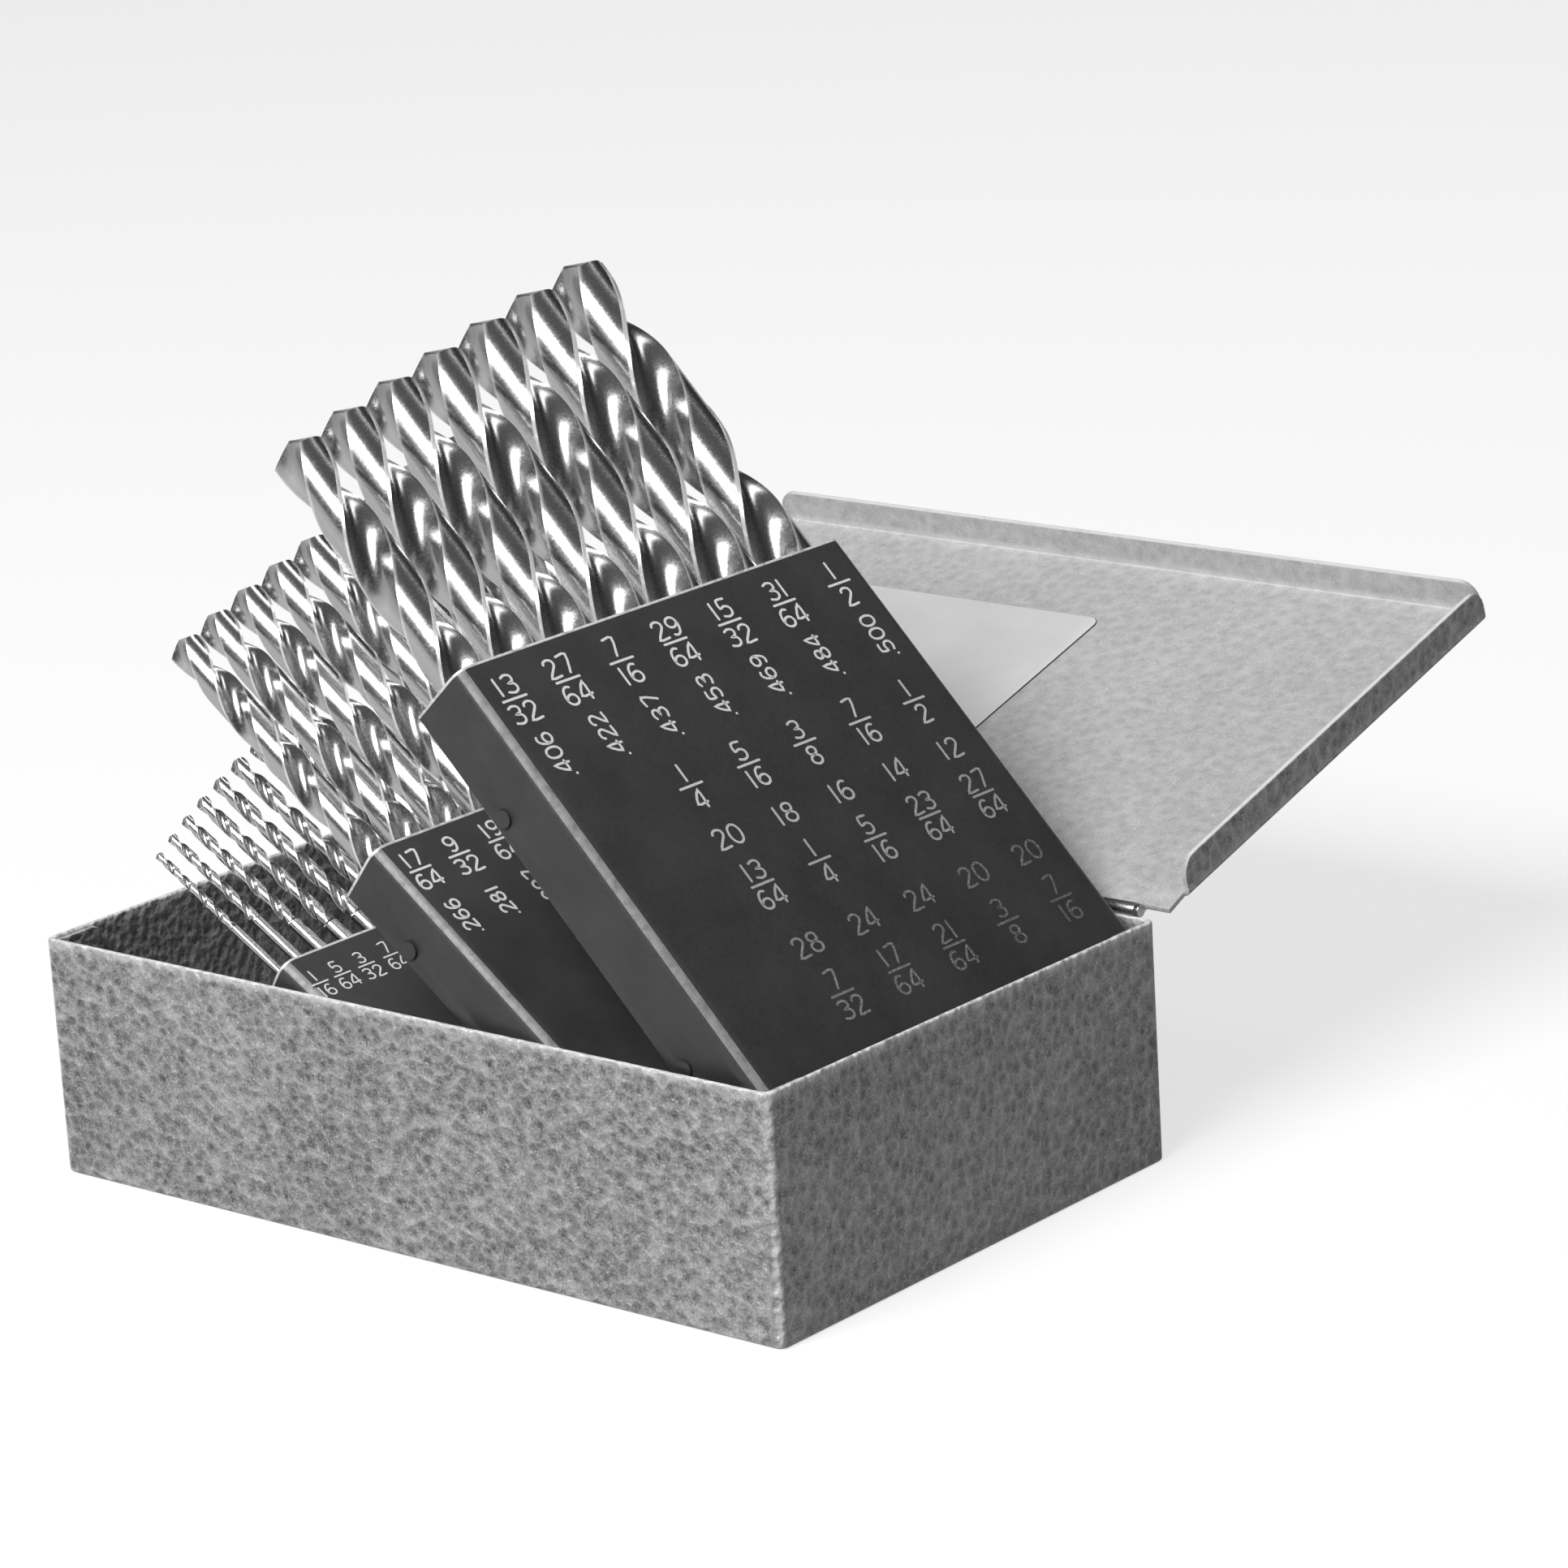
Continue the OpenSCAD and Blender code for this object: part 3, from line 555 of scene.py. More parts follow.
# Strokes of the figures, on a grid 6 wide and 10 high
STROKES = {
    "0": [[(3, 10), (1, 9), (0, 6.5), (0, 3.5), (1, 1), (3, 0), (5, 1), (6, 3.5), (6, 6.5), (5, 9),
           (3, 10)]],
    "1": [[(3, 0), (3, 10)]],
    "2": [[(0.3, 7.8), (1, 9.3), (3, 10), (5, 9.2), (5.6, 7.4), (4.8, 5.6), (0.2, 0), (6, 0)]],
    "3": [[(0.3, 9), (2.6, 10), (5, 9.3), (5.6, 7.6), (4.8, 5.9), (2.6, 5.3), (5, 4.6), (5.8, 2.6),
           (5, 0.8), (2.8, 0), (0, 1)]],
    "4": [[(4.4, 0), (4.4, 10), (0, 2.9), (6, 2.9)]],
    "5": [[(5.4, 10), (1, 10), (0.5, 5.4), (3, 6), (5.2, 5), (5.8, 3), (5, 0.9), (2.6, 0), (0, 0.9)]],
    "6": [[(5, 9.4), (3, 10), (1, 8.4), (0, 5), (0.2, 2), (1.4, 0.4), (3.2, 0), (5, 0.8), (5.8, 2.8),
           (5, 4.9), (3.2, 5.6), (1.2, 4.8), (0.1, 3)]],
    "7": [[(0.2, 10), (5.8, 10), (2.4, 0)]],
    "8": [[(3, 5.4), (1, 6.3), (0.6, 8.2), (1.4, 9.5), (3, 10), (4.6, 9.5), (5.4, 8.2), (5, 6.3),
           (3, 5.4), (0.9, 4.4), (0.1, 2.5), (1, 0.7), (3, 0), (5, 0.7), (5.9, 2.5), (5.1, 4.4),
           (3, 5.4)]],
    "9": [[(0.8, 0.6), (2.8, 0), (4.8, 1.5), (5.9, 5), (5.8, 7.8), (4.6, 9.6), (2.8, 10), (1, 9.2),
           (0.2, 7.2), (1, 5.1), (2.8, 4.4), (4.8, 5.2), (5.9, 7)]],
    ".": [[(0.2, 0), (0.9, 0)]],
}
GRID_WIDE = 6
GRID_HIGH = 10
ADVANCE = {"1": 4.8, ".": 3.4}
FIGURE_ADVANCE = 8.4
ONE_SHIFT = -2.0
UPRIGHT_WIDTH = 1.2
FIGURE_LIFT = 0.05 * MM
# How far a stroke's pointed end reaches, in half widths, and the limit of its sharp turns
TIP_REACH = 0.7
LEAST_MITRE = 0.5
# A fraction's half bar, and how far its two numbers lie from the bar, in figure heights
BAR_HALF = 0.82
TOP_AWAY = 0.78
BOTTOM_AWAY = 0.82
# A decimal's height as a share of the fraction's, and how much greyer it is
DECIMAL_SHARE = 0.95
DECIMAL_FADE = 0.06
# Figure heights in the table of screw sizes, and how much greyer each line is than the last
TABLE_FRACTION_MM = 3.7
TABLE_COUNT_MM = 3.9
FADE_STEP = 0.03


def ribbon(points, half_width):
    """Left and right side points of a stroke of even width through the points."""
    left = []
    right = []
    last = len(points) - 1
    for i, p in enumerate(points):
        before = (p - points[i - 1]).normalized() if i > 0 else None
        after = (points[i + 1] - p).normalized() if i < last else None
        way = (before or after) + (after or before)
        way.normalize()
        side = Vector((-way.y, way.x))
        turn = (before or after).dot(way)
        reach = half_width / max(turn, LEAST_MITRE)
        left.append(p + side * reach)
        right.append(p - side * reach)
    return left, right


class Figures:
    """Collects the strokes of a rack's numbers as one thin raised mesh on the label face."""

    def __init__(self, rack, stroke_mm):
        self.rack = rack
        self.half = stroke_mm / 2 * MM
        self.verts = []
        self.faces = []
        self.fades = []

    def stroke(self, points, fade):
        if len(points) > 2:
            points = smooth_path(points, 3 * (len(points) - 1))
        start = (points[0] - points[1]).normalized() * self.half * TIP_REACH
        end = (points[-1] - points[-2]).normalized() * self.half * TIP_REACH
        base = len(self.verts)
        count = len(points)
        sides = ribbon(points, self.half)
        for lift in (0.0, FIGURE_LIFT):
            for side in sides:
                for p in side:
                    self.verts.append((p.x, p.y, self.rack.face_z + lift))
        tip_points = [points[0] + start, points[-1] + end]
        for lift in (0.0, FIGURE_LIFT):
            for p in tip_points:
                self.verts.append((p.x, p.y, self.rack.face_z + lift))
        self.fades += [fade] * (4 * count + 4)
        low_l, low_r, top_l, top_r = (base + k * count for k in range(4))
        tips = base + 4 * count
        for k in range(count - 1):
            self.faces.append((top_l + k, top_l + k + 1, top_r + k + 1, top_r + k))
            self.faces.append((low_l + k, low_l + k + 1, top_l + k + 1, top_l + k))
            self.faces.append((top_r + k, top_r + k + 1, low_r + k + 1, low_r + k))
            self.faces.append((low_r + k, low_r + k + 1, low_l + k + 1, low_l + k))
        for end_k, tip_low, tip_top in ((0, tips, tips + 2), (count - 1, tips + 1, tips + 3)):
            self.faces.append((top_l + end_k, top_r + end_k, tip_top))
            self.faces.append((low_r + end_k, low_l + end_k, tip_low))
            self.faces.append((low_l + end_k, top_l + end_k, tip_top, tip_low))
            self.faces.append((top_r + end_k, low_r + end_k, tip_low, tip_top))

    def text(self, words, x, y, height_mm, fade=0.0, upward=False):
        """Writes figures whose middle lies at x, y; upward turns the line to run toward the edge."""
        unit = height_mm * MM / GRID_HIGH
        width = sum(ADVANCE.get(c, FIGURE_ADVANCE) for c in words) - (FIGURE_ADVANCE - GRID_WIDE)
        cursor = -width / 2
        for c in words:
            shift = ONE_SHIFT if c == "1" else 0
            for line in STROKES[c]:
                spots = []
                for u, v in line:
                    across = (cursor + u + shift) * unit * (1 if upward else UPRIGHT_WIDTH)
                    rise = (v - GRID_HIGH / 2) * unit
                    if upward:
                        spots.append(Vector((x - across, y - rise)))
                    else:
                        spots.append(Vector((x - rise, y + across)))
                self.stroke(spots, fade)
            cursor += ADVANCE.get(c, FIGURE_ADVANCE)

    def fraction(self, top, bottom, x, y, height_mm, fade=0.0):
        half_bar = BAR_HALF * height_mm * MM
        self.text(top, x - TOP_AWAY * height_mm * MM, y, height_mm, fade)
        self.stroke([Vector((x, y - half_bar)), Vector((x, y + half_bar))], fade)
        self.text(bottom, x + BOTTOM_AWAY * height_mm * MM, y, height_mm, fade)

    def finish(self, name, material):
        mesh = bpy.data.meshes.new(name)
        mesh.from_pydata(self.verts, [], self.faces)
        set_values(mesh, "fade", self.fades)
        bm = bmesh.new()
        bm.from_mesh(mesh)
        bmesh.ops.recalc_face_normals(bm, faces=bm.faces)
        bm.to_mesh(mesh)
        bm.free()
        mesh.transform(self.rack.frame)
        shade(mesh, 30)
        piece = make_object(name, mesh, material)
        settle(piece, self.rack.body, "rack_black")


def thread_table(figures, first_y, pitch_mm):
    """Generic rows of sizes below the drill sizes: depth from the label edge in millimetres."""
    rows = [
        (36.0, 0.14, ["1/4", "5/16", "3/8", "7/16", "1/2"]),
        (47.4, 0.26, ["20", "18", "16", "14", "12"]),
        (58.0, 0.38, ["13/64", "1/4", "5/16", "23/64", "27/64"]),
        (71.7, 0.58, ["28", "24", "24", "20", "20"]),
        (82.4, 0.62, ["7/32", "17/64", "21/64", "3/8", "7/16"]),
    ]
    for depth, fade, entries in rows:
        x = figures.rack.edge_x + depth * MM
        for k, entry in enumerate(entries):
            y = (first_y + k * pitch_mm) * MM
            marked = fade + FADE_STEP * k
            if "/" in entry:
                top, bottom = entry.split("/")
                figures.fraction(top, bottom, x, y, TABLE_FRACTION_MM, marked)
            else:
                figures.text(entry, x, y, TABLE_COUNT_MM, marked)


def node_size(node):
    """The nominal size in a drill node's name, such as drill_13_64."""
    top, bottom = node.split("_")[1:]
    return int(top), int(bottom)


# Takes a half thousandth down when a size is rounded, as the label does with 7/16
HALF_DOWN = 1e-7


def size_rows(rack, names, row_depths, height_mm, figures):
    """Each drill's size as a fraction, and as a decimal where a second row depth is given, in line with
    the drill.
    """
    for k, node in enumerate(names):
        low, high = rack.box(node)
        y = (low.y + high.y) / 2
        top, bottom = node_size(node)
        figures.fraction(str(top), str(bottom), rack.edge_x + row_depths[0] * MM, y, height_mm)
        if len(row_depths) > 1:
            decimal = "%.3f" % (top / bottom - HALF_DOWN)
            figures.text(decimal[1:], rack.edge_x + row_depths[1] * MM, y, height_mm * DECIMAL_SHARE,
                         DECIMAL_FADE, upward=True)


def rounded_loop(half_l, half_w, r, step, corner_steps):
    """Points round a rectangle with round corners, counter-clockwise, in even steps."""
    points = []
    corners = ((1, -1, -90), (1, 1, 0), (-1, 1, 90), (-1, -1, 180))
    for k, (sx, sy, start) in enumerate(corners):
        centre = Vector((sx * (half_l - r), sy * (half_w - r)))
        for c in range(corner_steps + 1):
            a = math.radians(start + 90 * c / corner_steps)
            points.append(centre + Vector((math.cos(a), math.sin(a))) * r)
        nx, ny, nstart = corners[(k + 1) % 4]
        a = math.radians(nstart)
        target = Vector((nx * (half_l - r), ny * (half_w - r))) + Vector((math.cos(a), math.sin(a))) * r
        here = points[-1]
        count = max(1, round((target - here).length / step))
        points += [here.lerp(target, c / count) for c in range(1, count)]
    return points


CASE_SHEET = 1.0 * MM
CASE_BEND = 1.5 * MM
CASE_FOOT_BEND = 0.8 * MM
CASE_INNER_BEND = 1.6 * CASE_SHEET
CASE_GRID = 1.6 * MM
CORNER_STEPS = 4
FOOT_STEPS = 4
RIM_STEPS = 8
DIMPLE_MM = 3.2
DIMPLE_DEPTH = 0.07 * MM
# Strips without dimples along the foot and the rim, and how near a wall's plane the others lie
PLAIN_FOOT = 1 * MM
PLAIN_RIM = 0.8 * MM
WALL_WITHIN = 0.1 * MM
# Widths of the wear along foot and rim and at the corners, and how much of it the foot has
EDGE_WEAR = 0.9 * MM
CORNER_WEAR = 1.5 * MM
FOOT_SHARE = 0.6


def case_shell(material):
    """The box as one folded sheet: dimpled outside and in, with a round rim and worn edges."""
    _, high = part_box("case_body")
    half_l, half_w, height = high.x, high.y, high.z
    rim = CASE_SHEET / 2
    outline = rounded_loop(half_l, half_w, CASE_BEND, CASE_GRID, CORNER_STEPS)
    n = len(outline)
    levels = []
    for k in range(FOOT_STEPS + 1):
        a = math.radians(90 * k / FOOT_STEPS)
        levels.append((CASE_FOOT_BEND * (1 - math.sin(a)), CASE_FOOT_BEND * (1 - math.cos(a))))
    wall_steps = round((height - CASE_FOOT_BEND - rim) / CASE_GRID)
    for k in range(1, wall_steps + 1):
        levels.append((0, CASE_FOOT_BEND + (height - CASE_FOOT_BEND - rim) * k / wall_steps))
    for k in range(1, RIM_STEPS):
        a = math.radians(180 * k / RIM_STEPS)
        levels.append((rim - rim * math.cos(a), height - rim + rim * math.sin(a)))
    for k in range(wall_steps + 1):
        levels.append((CASE_SHEET, height - rim - (height - rim - 2 * CASE_SHEET) * k / wall_steps))
    levels.append((CASE_INNER_BEND, CASE_SHEET))
    verts = []
    edge = []
    for inset, z in levels:
        for p in outline:
            scale = Vector(((half_l - inset) / half_l, (half_w - inset) / half_w))
            spot = Vector((p.x * scale.x, p.y * scale.y, z))
            dimple = noise.noise(Vector((p.x, p.y, z)) / (DIMPLE_MM * MM)) * 0.5 + 0.5
            depth = DIMPLE_DEPTH * dimple if PLAIN_FOOT < z < height - PLAIN_RIM else 0
            push = Vector((0, 0))
            if half_l - abs(p.x) < WALL_WITHIN:
                push.x = -math.copysign(depth, p.x)
            if half_w - abs(p.y) < WALL_WITHIN:
                push.y = -math.copysign(depth, p.y)
            verts.append((spot.x + push.x, spot.y + push.y, z))
            at_rim = max(0.0, 1 - (height - z) / EDGE_WEAR)
            corner = Vector((half_l - abs(p.x), half_w - abs(p.y))).length
            at_corner = max(0.0, 1 - corner / CORNER_WEAR) if inset < rim else 0
            at_foot = FOOT_SHARE * max(0.0, 1 - z / EDGE_WEAR)
            edge.append(max(at_rim, at_corner, at_foot))
    faces = []
    for k in range(len(levels) - 1):
        for i in range(n):
            j = (i + 1) % n
            faces.append((k * n + i, k * n + j, (k + 1) * n + j, (k + 1) * n + i))
    last = (len(levels) - 1) * n
    faces.append(tuple(last + i for i in range(n)))
    faces.append(tuple(reversed(range(n))))
    mesh = bpy.data.meshes.new("case_shell")
    mesh.from_pydata(verts, [], faces)
    set_values(mesh, "edge", edge)
    shade(mesh, 40)
    return make_object("case_shell", mesh, material)


PLATE_ROUNDING = 0.15 * MM
PLATE_SHARP = math.radians(40)


def plate(name, outline, thickness, place, material):
    """A flat sheet piece from a closed outline in x and y, with rounded edges."""
    bm = bmesh.new()
    marked = bm.faces.layers.float.new("edge")
    ring = [bm.verts.new((p[0], p[1], 0)) for p in outline]
    face = bm.faces.new(ring)
    made = bmesh.ops.extrude_face_region(bm, geom=[face])
    top = [g for g in made["geom"] if isinstance(g, bmesh.types.BMVert)]
    bmesh.ops.translate(bm, verts=top, vec=(0, 0, thickness))
    bmesh.ops.recalc_face_normals(bm, faces=bm.faces)
    sharp = [e for e in bm.edges if e.calc_face_angle(0) > PLATE_SHARP]
    made = bmesh.ops.bevel(bm, geom=sharp, offset=PLATE_ROUNDING, offset_type="OFFSET", segments=2,
                           profile=0.5, affect="EDGES", clamp_overlap=True)
    for f in bm.faces:
        f[marked] = 0.0
    for f in made["faces"]:
        f[marked] = 1.0
    mesh = bpy.data.meshes.new(name)
    bm.to_mesh(mesh)
    bm.free()
    mesh.transform(place)
    shade(mesh)
    return make_object(name, mesh, material)


def corner_tabs(material):
    """Tabs of the long walls, folded behind the short walls at the four corners."""
    _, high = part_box("case_body")
    tab_l = 12 * MM
    r = 2.5 * MM
    bottom = CASE_SHEET
    top = high.z - 0.5 * CASE_SHEET
    arc = [(tab_l - r + r * math.sin(a), top - r + r * math.cos(a))
           for a in (math.radians(15 * k) for k in range(7))]
    outline = [(0, bottom), (0, top)] + arc + [(tab_l, bottom)]
    for sx in (-1, 1):
        for sy in (-1, 1):
            inner_x = sx * (high.x - CASE_SHEET)
            inner_y = sy * (high.y - CASE_SHEET)
            place = Matrix((
                (0, 0, -sx, inner_x),
                (-sy, 0, 0, inner_y),
                (0, 1, 0, 0),
                (0, 0, 0, 1),
            ))
            name = "corner_tab_%s_%s" % ("r" if sx > 0 else "l", "b" if sy > 0 else "f")
            piece = plate(name, outline, CASE_SHEET, place, material)
            settle(piece, "case", "case_paint")


def opened_lid_matrix(hinge, angle):
    """Turns a piece drawn on the closed lid to where the open lid holds it."""
    pin = Vector(hinge["pos_m"])
    return Matrix.Translation(pin) @ Matrix.Rotation(-angle, 4, "X") @ Matrix.Translation(-pin)


LID_OPEN = math.radians(164)
LID_SHEET = 0.9 * MM
LID_BEND = 1.2 * MM
LID_BEND_STEPS = 5
LID_EDGE = 7.5 * MM
LID_CORNER = 4 * MM
LID_CORNER_STEPS = (20, 40, 60, 80)
# Room round the case, above its rim and at its back edge
LID_ROOM = 0.6 * MM
LID_LIFT = 0.4 * MM
LID_BACK = 0.4 * MM
# Cuts beside the front edge's ends, and in front of the hinge
LID_NOTCH = 0.6 * MM
LID_HINGE_ROOM = 6 * MM
# Spacing of points along the edges, and their rows from the bend down to the rim
LID_GRID = 2.5 * MM
LID_ROWS = (0.25, 0.55, 0.8, 0.93, 1.0)
LID_ROUNDING = 0.18 * MM
# Width of the wear along the rim, and how light the bends are painted, as a painted highlight
LID_RIM_WEAR = 0.4 * MM
LID_FOLD_HIGHLIGHT = 0.4


def lid_tray(outside, inside):
    """The lid's sheet drawn closed: a panel with three edges turned down over round bends."""
    _, case_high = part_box("case_body")
    half_l = case_high.x + LID_ROOM + LID_SHEET
    half_w = case_high.y + LID_ROOM + LID_SHEET
    back_y = case_high.y - LID_BACK
    top = case_high.z + LID_LIFT + LID_SHEET
    bm = bmesh.new()

    def edge_strip(base, out, along, start, stop):
        """Turns one edge down: base is the fold line's middle, out its outward direction."""
        count = max(2, round((stop - start) / LID_GRID))
        spots = [start + (stop - start) * k / count for k in range(count + 1)]
        fine = [start + LID_CORNER * (1 - math.cos(math.radians(a))) for a in LID_CORNER_STEPS]
        fine += [stop - LID_CORNER * (1 - math.cos(math.radians(a))) for a in LID_CORNER_STEPS]
        spots = sorted(set(round(s, 7) for s in spots + fine))
        columns = []
        for s in spots:
            depth = LID_EDGE
            for end in (s - start, stop - s):
                if end < LID_CORNER:
                    depth = min(depth, LID_EDGE - LID_CORNER
                                + math.sqrt(LID_CORNER ** 2 - (LID_CORNER - end) ** 2))
            column = []
            for k in range(LID_BEND_STEPS + 1):
                a = math.radians(90 * k / LID_BEND_STEPS)
                column.append(base + along * s + out * (LID_BEND * math.sin(a))
                              + Vector((0, 0, -LID_BEND * (1 - math.cos(a)))))
            for share in LID_ROWS:
                z = LID_BEND + (depth - LID_BEND) * share
                column.append(base + along * s + out * LID_BEND + Vector((0, 0, -z)))
            columns.append([bm.verts.new(p) for p in column])
        for one, two in zip(columns, columns[1:]):
            for k in range(len(one) - 1):
                bm.faces.new((one[k], two[k], two[k + 1], one[k + 1]))
        return [column[0] for column in columns]

    flat_l = half_l - LID_BEND
    flat_w = half_w - LID_BEND
    side_start = -flat_w + LID_NOTCH
    side_stop = back_y - LID_HINGE_ROOM
    back_x = flat_l + LID_BEND * 0.6
    x_axis, y_axis = Vector((1, 0, 0)), Vector((0, 1, 0))
    front = edge_strip(Vector((0, -flat_w, top)), -y_axis, x_axis, -flat_l + LID_NOTCH,
                       flat_l - LID_NOTCH)
    right = edge_strip(Vector((flat_l, 0, top)), x_axis, y_axis, side_start, side_stop)
    left = edge_strip(Vector((-flat_l, 0, top)), -x_axis, y_axis, side_start, side_stop)
    corners = [bm.verts.new((back_x, back_y, top)), bm.verts.new((-back_x, back_y, top))]
    bm.faces.new(front + right + corners + list(reversed(left)))
    bmesh.ops.recalc_face_normals(bm, faces=bm.faces)
    up = max(bm.faces, key=lambda f: f.calc_area())
    if up.normal.z < 0:
        bmesh.ops.reverse_faces(bm, faces=bm.faces)
    mesh = bpy.data.meshes.new("lid_tray")
    bm.to_mesh(mesh)
    bm.free()
    piece = make_object("lid_tray", mesh, outside)
    # The inside faces take the second material, the lighter copy of the paint that stands in for light
    mesh.materials.append(inside)
    solid = piece.modifiers.new("solid", "SOLIDIFY")
    solid.thickness = LID_SHEET
    solid.offset = -1
    solid.use_even_offset = True
    solid.material_offset = 1
    solid.material_offset_rim = 1
    rounded = piece.modifiers.new("rounded", "BEVEL")
    rounded.width = LID_ROUNDING
    rounded.segments = 2
    rounded.limit_method = "ANGLE"
    rounded.angle_limit = math.radians(50)
    mesh = bpy.data.meshes.new_from_object(piece.evaluated_get(bpy.context.evaluated_depsgraph_get()))
    piece.modifiers.clear()
    piece.data = mesh
    fold_z = top - LID_BEND
    values = []
    for v in mesh.vertices:
        rim = max(0.0, 1 - abs(v.co.z - (top - LID_EDGE)) / LID_RIM_WEAR)
        # The bends are lightened as a painted highlight
        fold = LID_FOLD_HIGHLIGHT if fold_z - LID_BEND < v.co.z < top - LID_SHEET * 1.05 else 0.0
        values.append(max(rim, fold))
    set_values(mesh, "edge", values)
    mesh.transform(opened_lid_matrix(JOINTS["lid_hinge"], LID_OPEN))
    shade(mesh)
    return piece


def soft_box(name, centre, aim, size, power):
    """A large soft lamp that faces the object."""
    data = bpy.data.lights.new(name, "AREA")
    data.shape = "RECTANGLE"
    data.size, data.size_y = size
    data.energy = power
    lamp = bpy.data.objects.new(name, data)
    scene.collection.objects.link(lamp)
    place = Vector(centre)
    lamp.matrix_world = Matrix.Translation(place) @ (
        (Vector(aim) - place).to_track_quat("-Z", "Y").to_matrix().to_4x4())


# Light of the room from straight down to straight up, as it falls on matt and on glossy surfaces
ROOM_DIFFUSE = [(0.0, 0.12), (0.47, 0.12), (0.56, 0.03), (0.9, 0.08)]
ROOM_GLOSSY = [(0.0, 0.7), (0.53, 0.7), (0.58, 0.1), (0.66, 0.02), (0.8, 0.04), (1.0, 0.12)]


def light_studio():
    """Three soft boxes, and a room with a white sweep behind it that darkens upward."""
    middle = (0, 0, 0.08)
    soft_box("key", (0.05, -1.55, 1.76), middle, (1.3, 1.0), 54)
    soft_box("fill", (2.1, -0.5, 0.5), middle, (0.4, 0.9), 0.4)
    soft_box("top", (0.1, 1.2, 1.8), middle, (0.8, 0.5), 4)
    world = bpy.data.worlds.new("studio")
    scene.world = world
    n = Nodes(world)
    split = n.add("ShaderNodeSeparateXYZ", {0: n.add("ShaderNodeTexCoord").outputs["Generated"]})
    height = n.math("ADD", n.math("MULTIPLY", split.outputs["Z"], 0.5), 0.5)
    path = n.add("ShaderNodeLightPath").outputs
    color = n.mix(path["Is Glossy Ray"], n.ramp(height, ROOM_DIFFUSE), n.ramp(height, ROOM_GLOSSY))
    color = n.mix(path["Is Camera Ray"], color, grey(1))
    sky = n.add("ShaderNodeBackground", {"Color": color, "Strength": 1.0}).outputs[0]
    out = n.add("ShaderNodeOutputWorld")
    n.tree.links.new(sky, out.inputs["Surface"])
    scene.view_settings.view_transform = "Standard"


# The floor's own grey, and the light added where the camera or a glossy surface sees it
FLOOR_GREY = 0.36
FLOOR_SEEN = 0.72
FLOOR_MIRRORED = 0.3


def make_floor():
    """A pale sweep that keeps the object's shadow; the camera and bright metal see it near white."""
    half = 8
    mesh = bpy.data.meshes.new("floor")
    z = -0.02 * MM
    mesh.from_pydata([(-half, -half, z), (half, -half, z), (half, half, z), (-half, half, z)], [],
                     [(0, 1, 2, 3)])
    material = bpy.data.materials.new("floor")
    n = Nodes(material)
    matt = n.add("ShaderNodeBsdfDiffuse", {"Color": grey(FLOOR_GREY)}).outputs[0]
    path = n.add("ShaderNodeLightPath").outputs
    seen = n.math("ADD", n.math("MULTIPLY", path["Is Camera Ray"], FLOOR_SEEN),
                  n.math("MULTIPLY", path["Is Glossy Ray"], FLOOR_MIRRORED))
    glow = n.add("ShaderNodeEmission", {"Color": grey(1), "Strength": seen}).outputs[0]
    both = n.add("ShaderNodeAddShader", {0: matt, 1: glow}).outputs[0]
    out = n.add("ShaderNodeOutputMaterial")
    n.tree.links.new(both, out.inputs["Surface"])
    make_object("floor", mesh, material)


make_camera()
make_floor()
light_studio()

paint = hammertone("case_paint", dark=0.05, light=0.6, grain_mm=2.0, depth_mm=1.2, metallic=0.1,
                   edge_shade=0.95, coat=0.1, rough=0.38)
# The lid's inside takes a lighter copy of the case paint, painted light for the light falling on the
# open lid
lid_paint = hammertone("lid_paint", dark=0.42, light=0.68, grain_mm=2.4, depth_mm=0.08, metallic=0.1,
                       edge_shade=0.9, coat=0.0, rough=0.5)
rack_black = black_sheet("rack_black", shade=0.052, edge_shade=0.9)
plate_black = black_sheet("plate_black", shade=0.02, edge_shade=0.3)
hinge_steel = steel("hinge_steel", shade=0.55, roughness=0.34, grain_mm=0.8)
rod_steel = steel("rod_steel", shade=0.5, roughness=0.3, grain_mm=0.6)
rivet_steel = steel("rivet_steel", shade=0.09, roughness=0.38, grain_mm=0.5, metallic=0.6)
bright_drill = drill_steel()
white_numbers = number_paint()

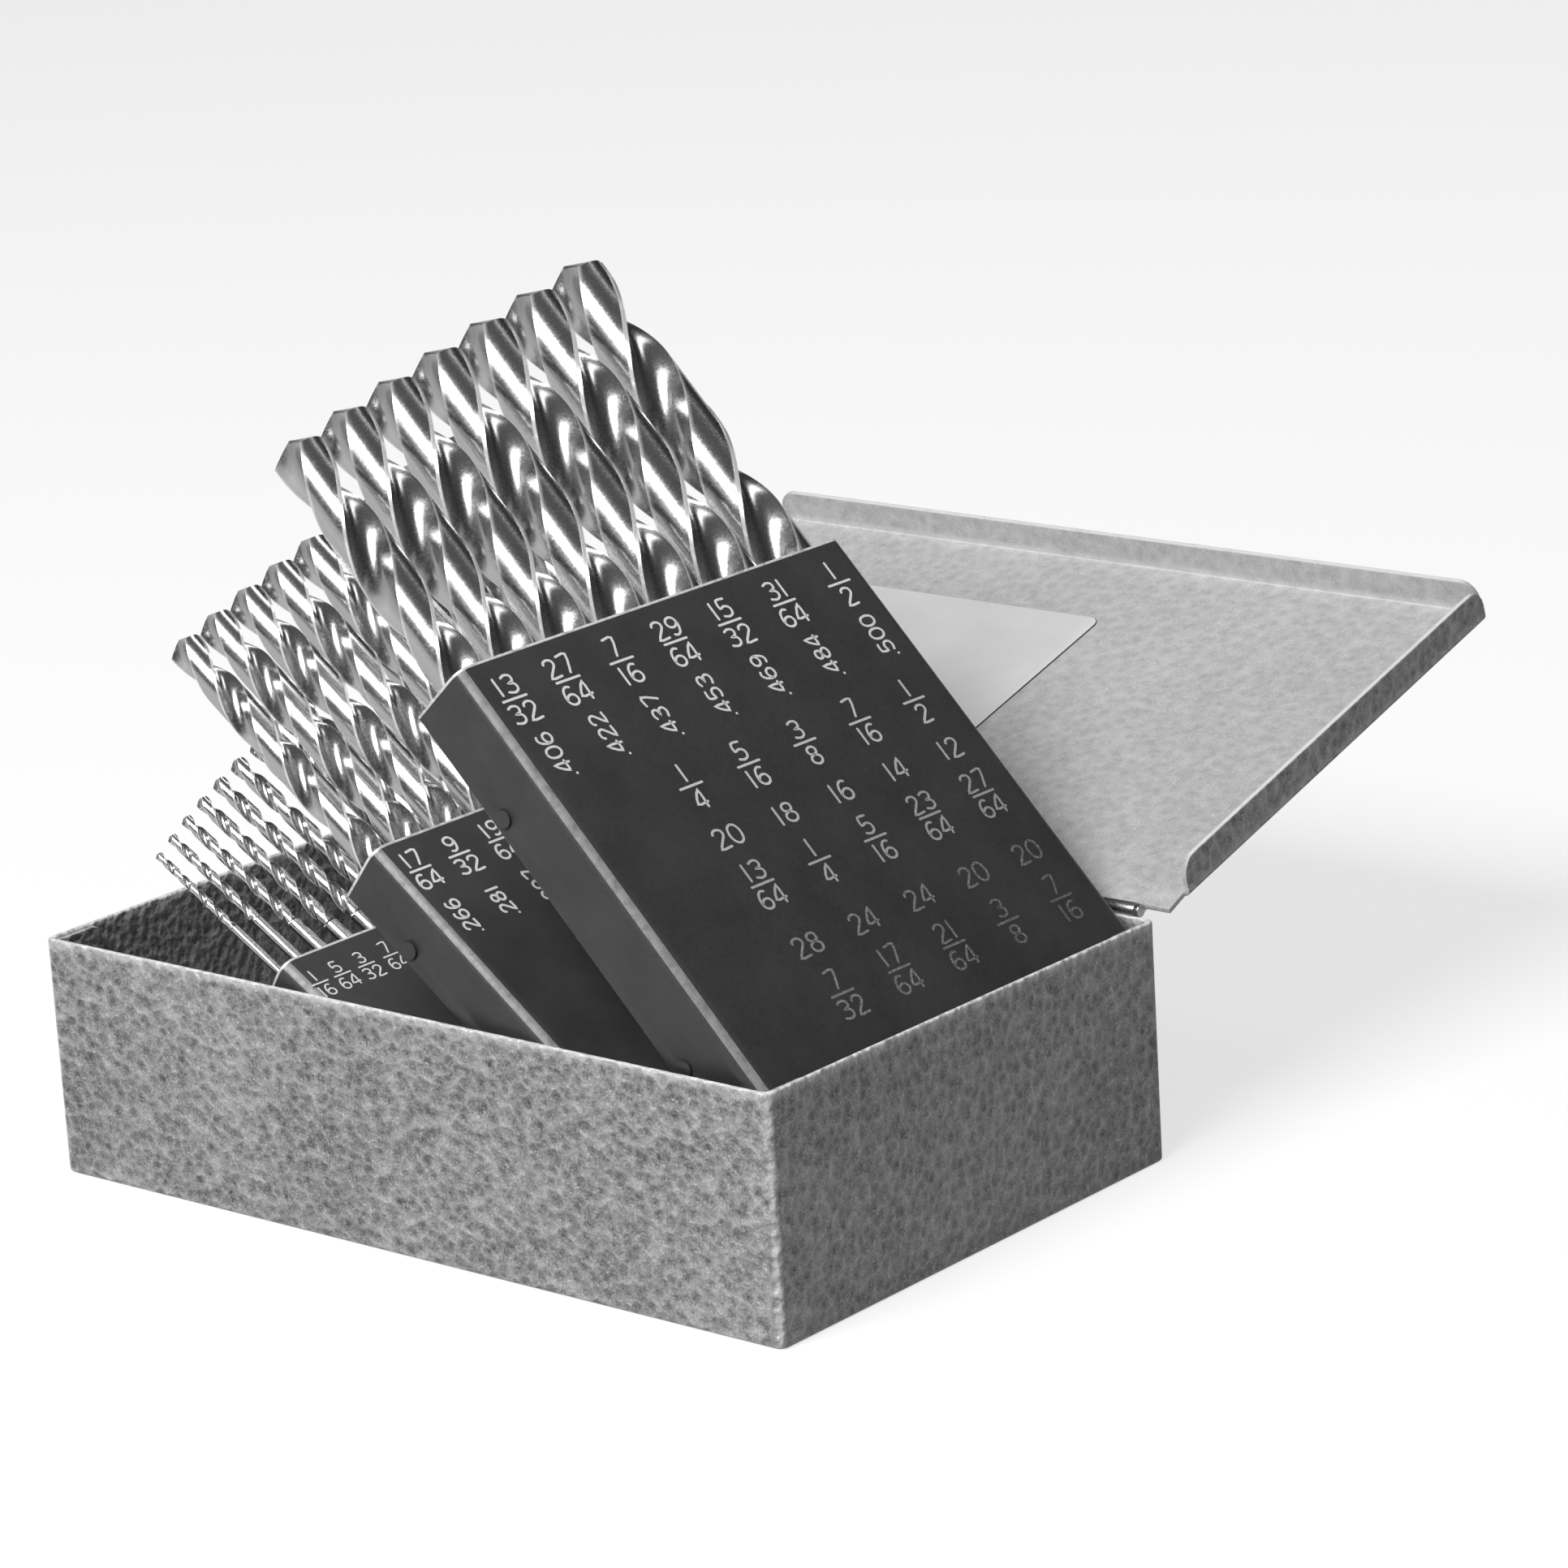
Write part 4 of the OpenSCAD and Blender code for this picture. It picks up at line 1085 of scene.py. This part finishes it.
settle(case_shell(paint), "case", "case_paint", "case_body")
corner_tabs(paint)
settle(lid_tray(paint, lid_paint), "lid", "lid_paint", "lid_panel")
dress("lid_card", "lid", "card", card_stock(), 0.15)

dress("case_hinge_leaf", "case", "hinge_steel", hinge_steel, 0.08)
dress("hinge_pin", "case", "hinge_steel", hinge_steel, 0.1)
dress("lid_hinge_leaf", "lid", "hinge_steel", hinge_steel, 0.08)
dress("front_bracket", "case", "bracket_black", plate_black, 0.12)
dress("back_bracket", "case", "bracket_black", plate_black, 0.12)

SETS = {
    "small": ["1_16", "5_64", "3_32", "7_64", "1_8", "9_64", "5_32", "11_64", "3_16", "13_64", "7_32",
              "15_64", "1_4"],
    "middle": ["17_64", "9_32", "19_64", "5_16", "21_64", "11_32", "23_64", "3_8", "25_64"],
    "large": ["13_32", "27_64", "7_16", "29_64", "15_32", "31_64", "1_2"],
}
ROW_DEPTHS = {"small": [7.4], "middle": [7.4, 19.6], "large": [8.9, 21.6]}
FIGURE_HEIGHTS = {"small": 2.6, "middle": 3.3, "large": 3.8}
STROKE_WIDTHS = {"small": 0.34, "middle": 0.5, "large": 0.5}
ROD_BODIES = {"small": "small_rod", "middle": "middle_rod", "large": "case"}
DRILL_PHASE = math.radians(70)

for name, sizes in SETS.items():
    rack = Rack(name)
    names = ["drill_" + size for size in sizes]
    shell = dress(name + "_rack_shell", rack.body, "rack_black", rack_black, 0.3)
    wear_shell(shell, rack)
    dress(name + "_guide_plate", rack.body, "plate_black", plate_black, 0.1)
    dress(name + "_seat_plate", rack.body, "plate_black", plate_black, 0.1)
    dress(name + "_rack_rivets", rack.body, "rivet_steel", rivet_steel, 0.1)
    dress(name + "_pivot_rod", ROD_BODIES[name], "rod_steel", rod_steel, 0.15)
    build_drills(rack, names, bright_drill, DRILL_PHASE)
    figures = Figures(rack, STROKE_WIDTHS[name])
    size_rows(rack, names, ROW_DEPTHS[name], FIGURE_HEIGHTS[name], figures)
    if name == "large":
        thread_table(figures, first_y=-22, pitch_mm=15.9)
    figures.finish(name + "_numbers", white_numbers)
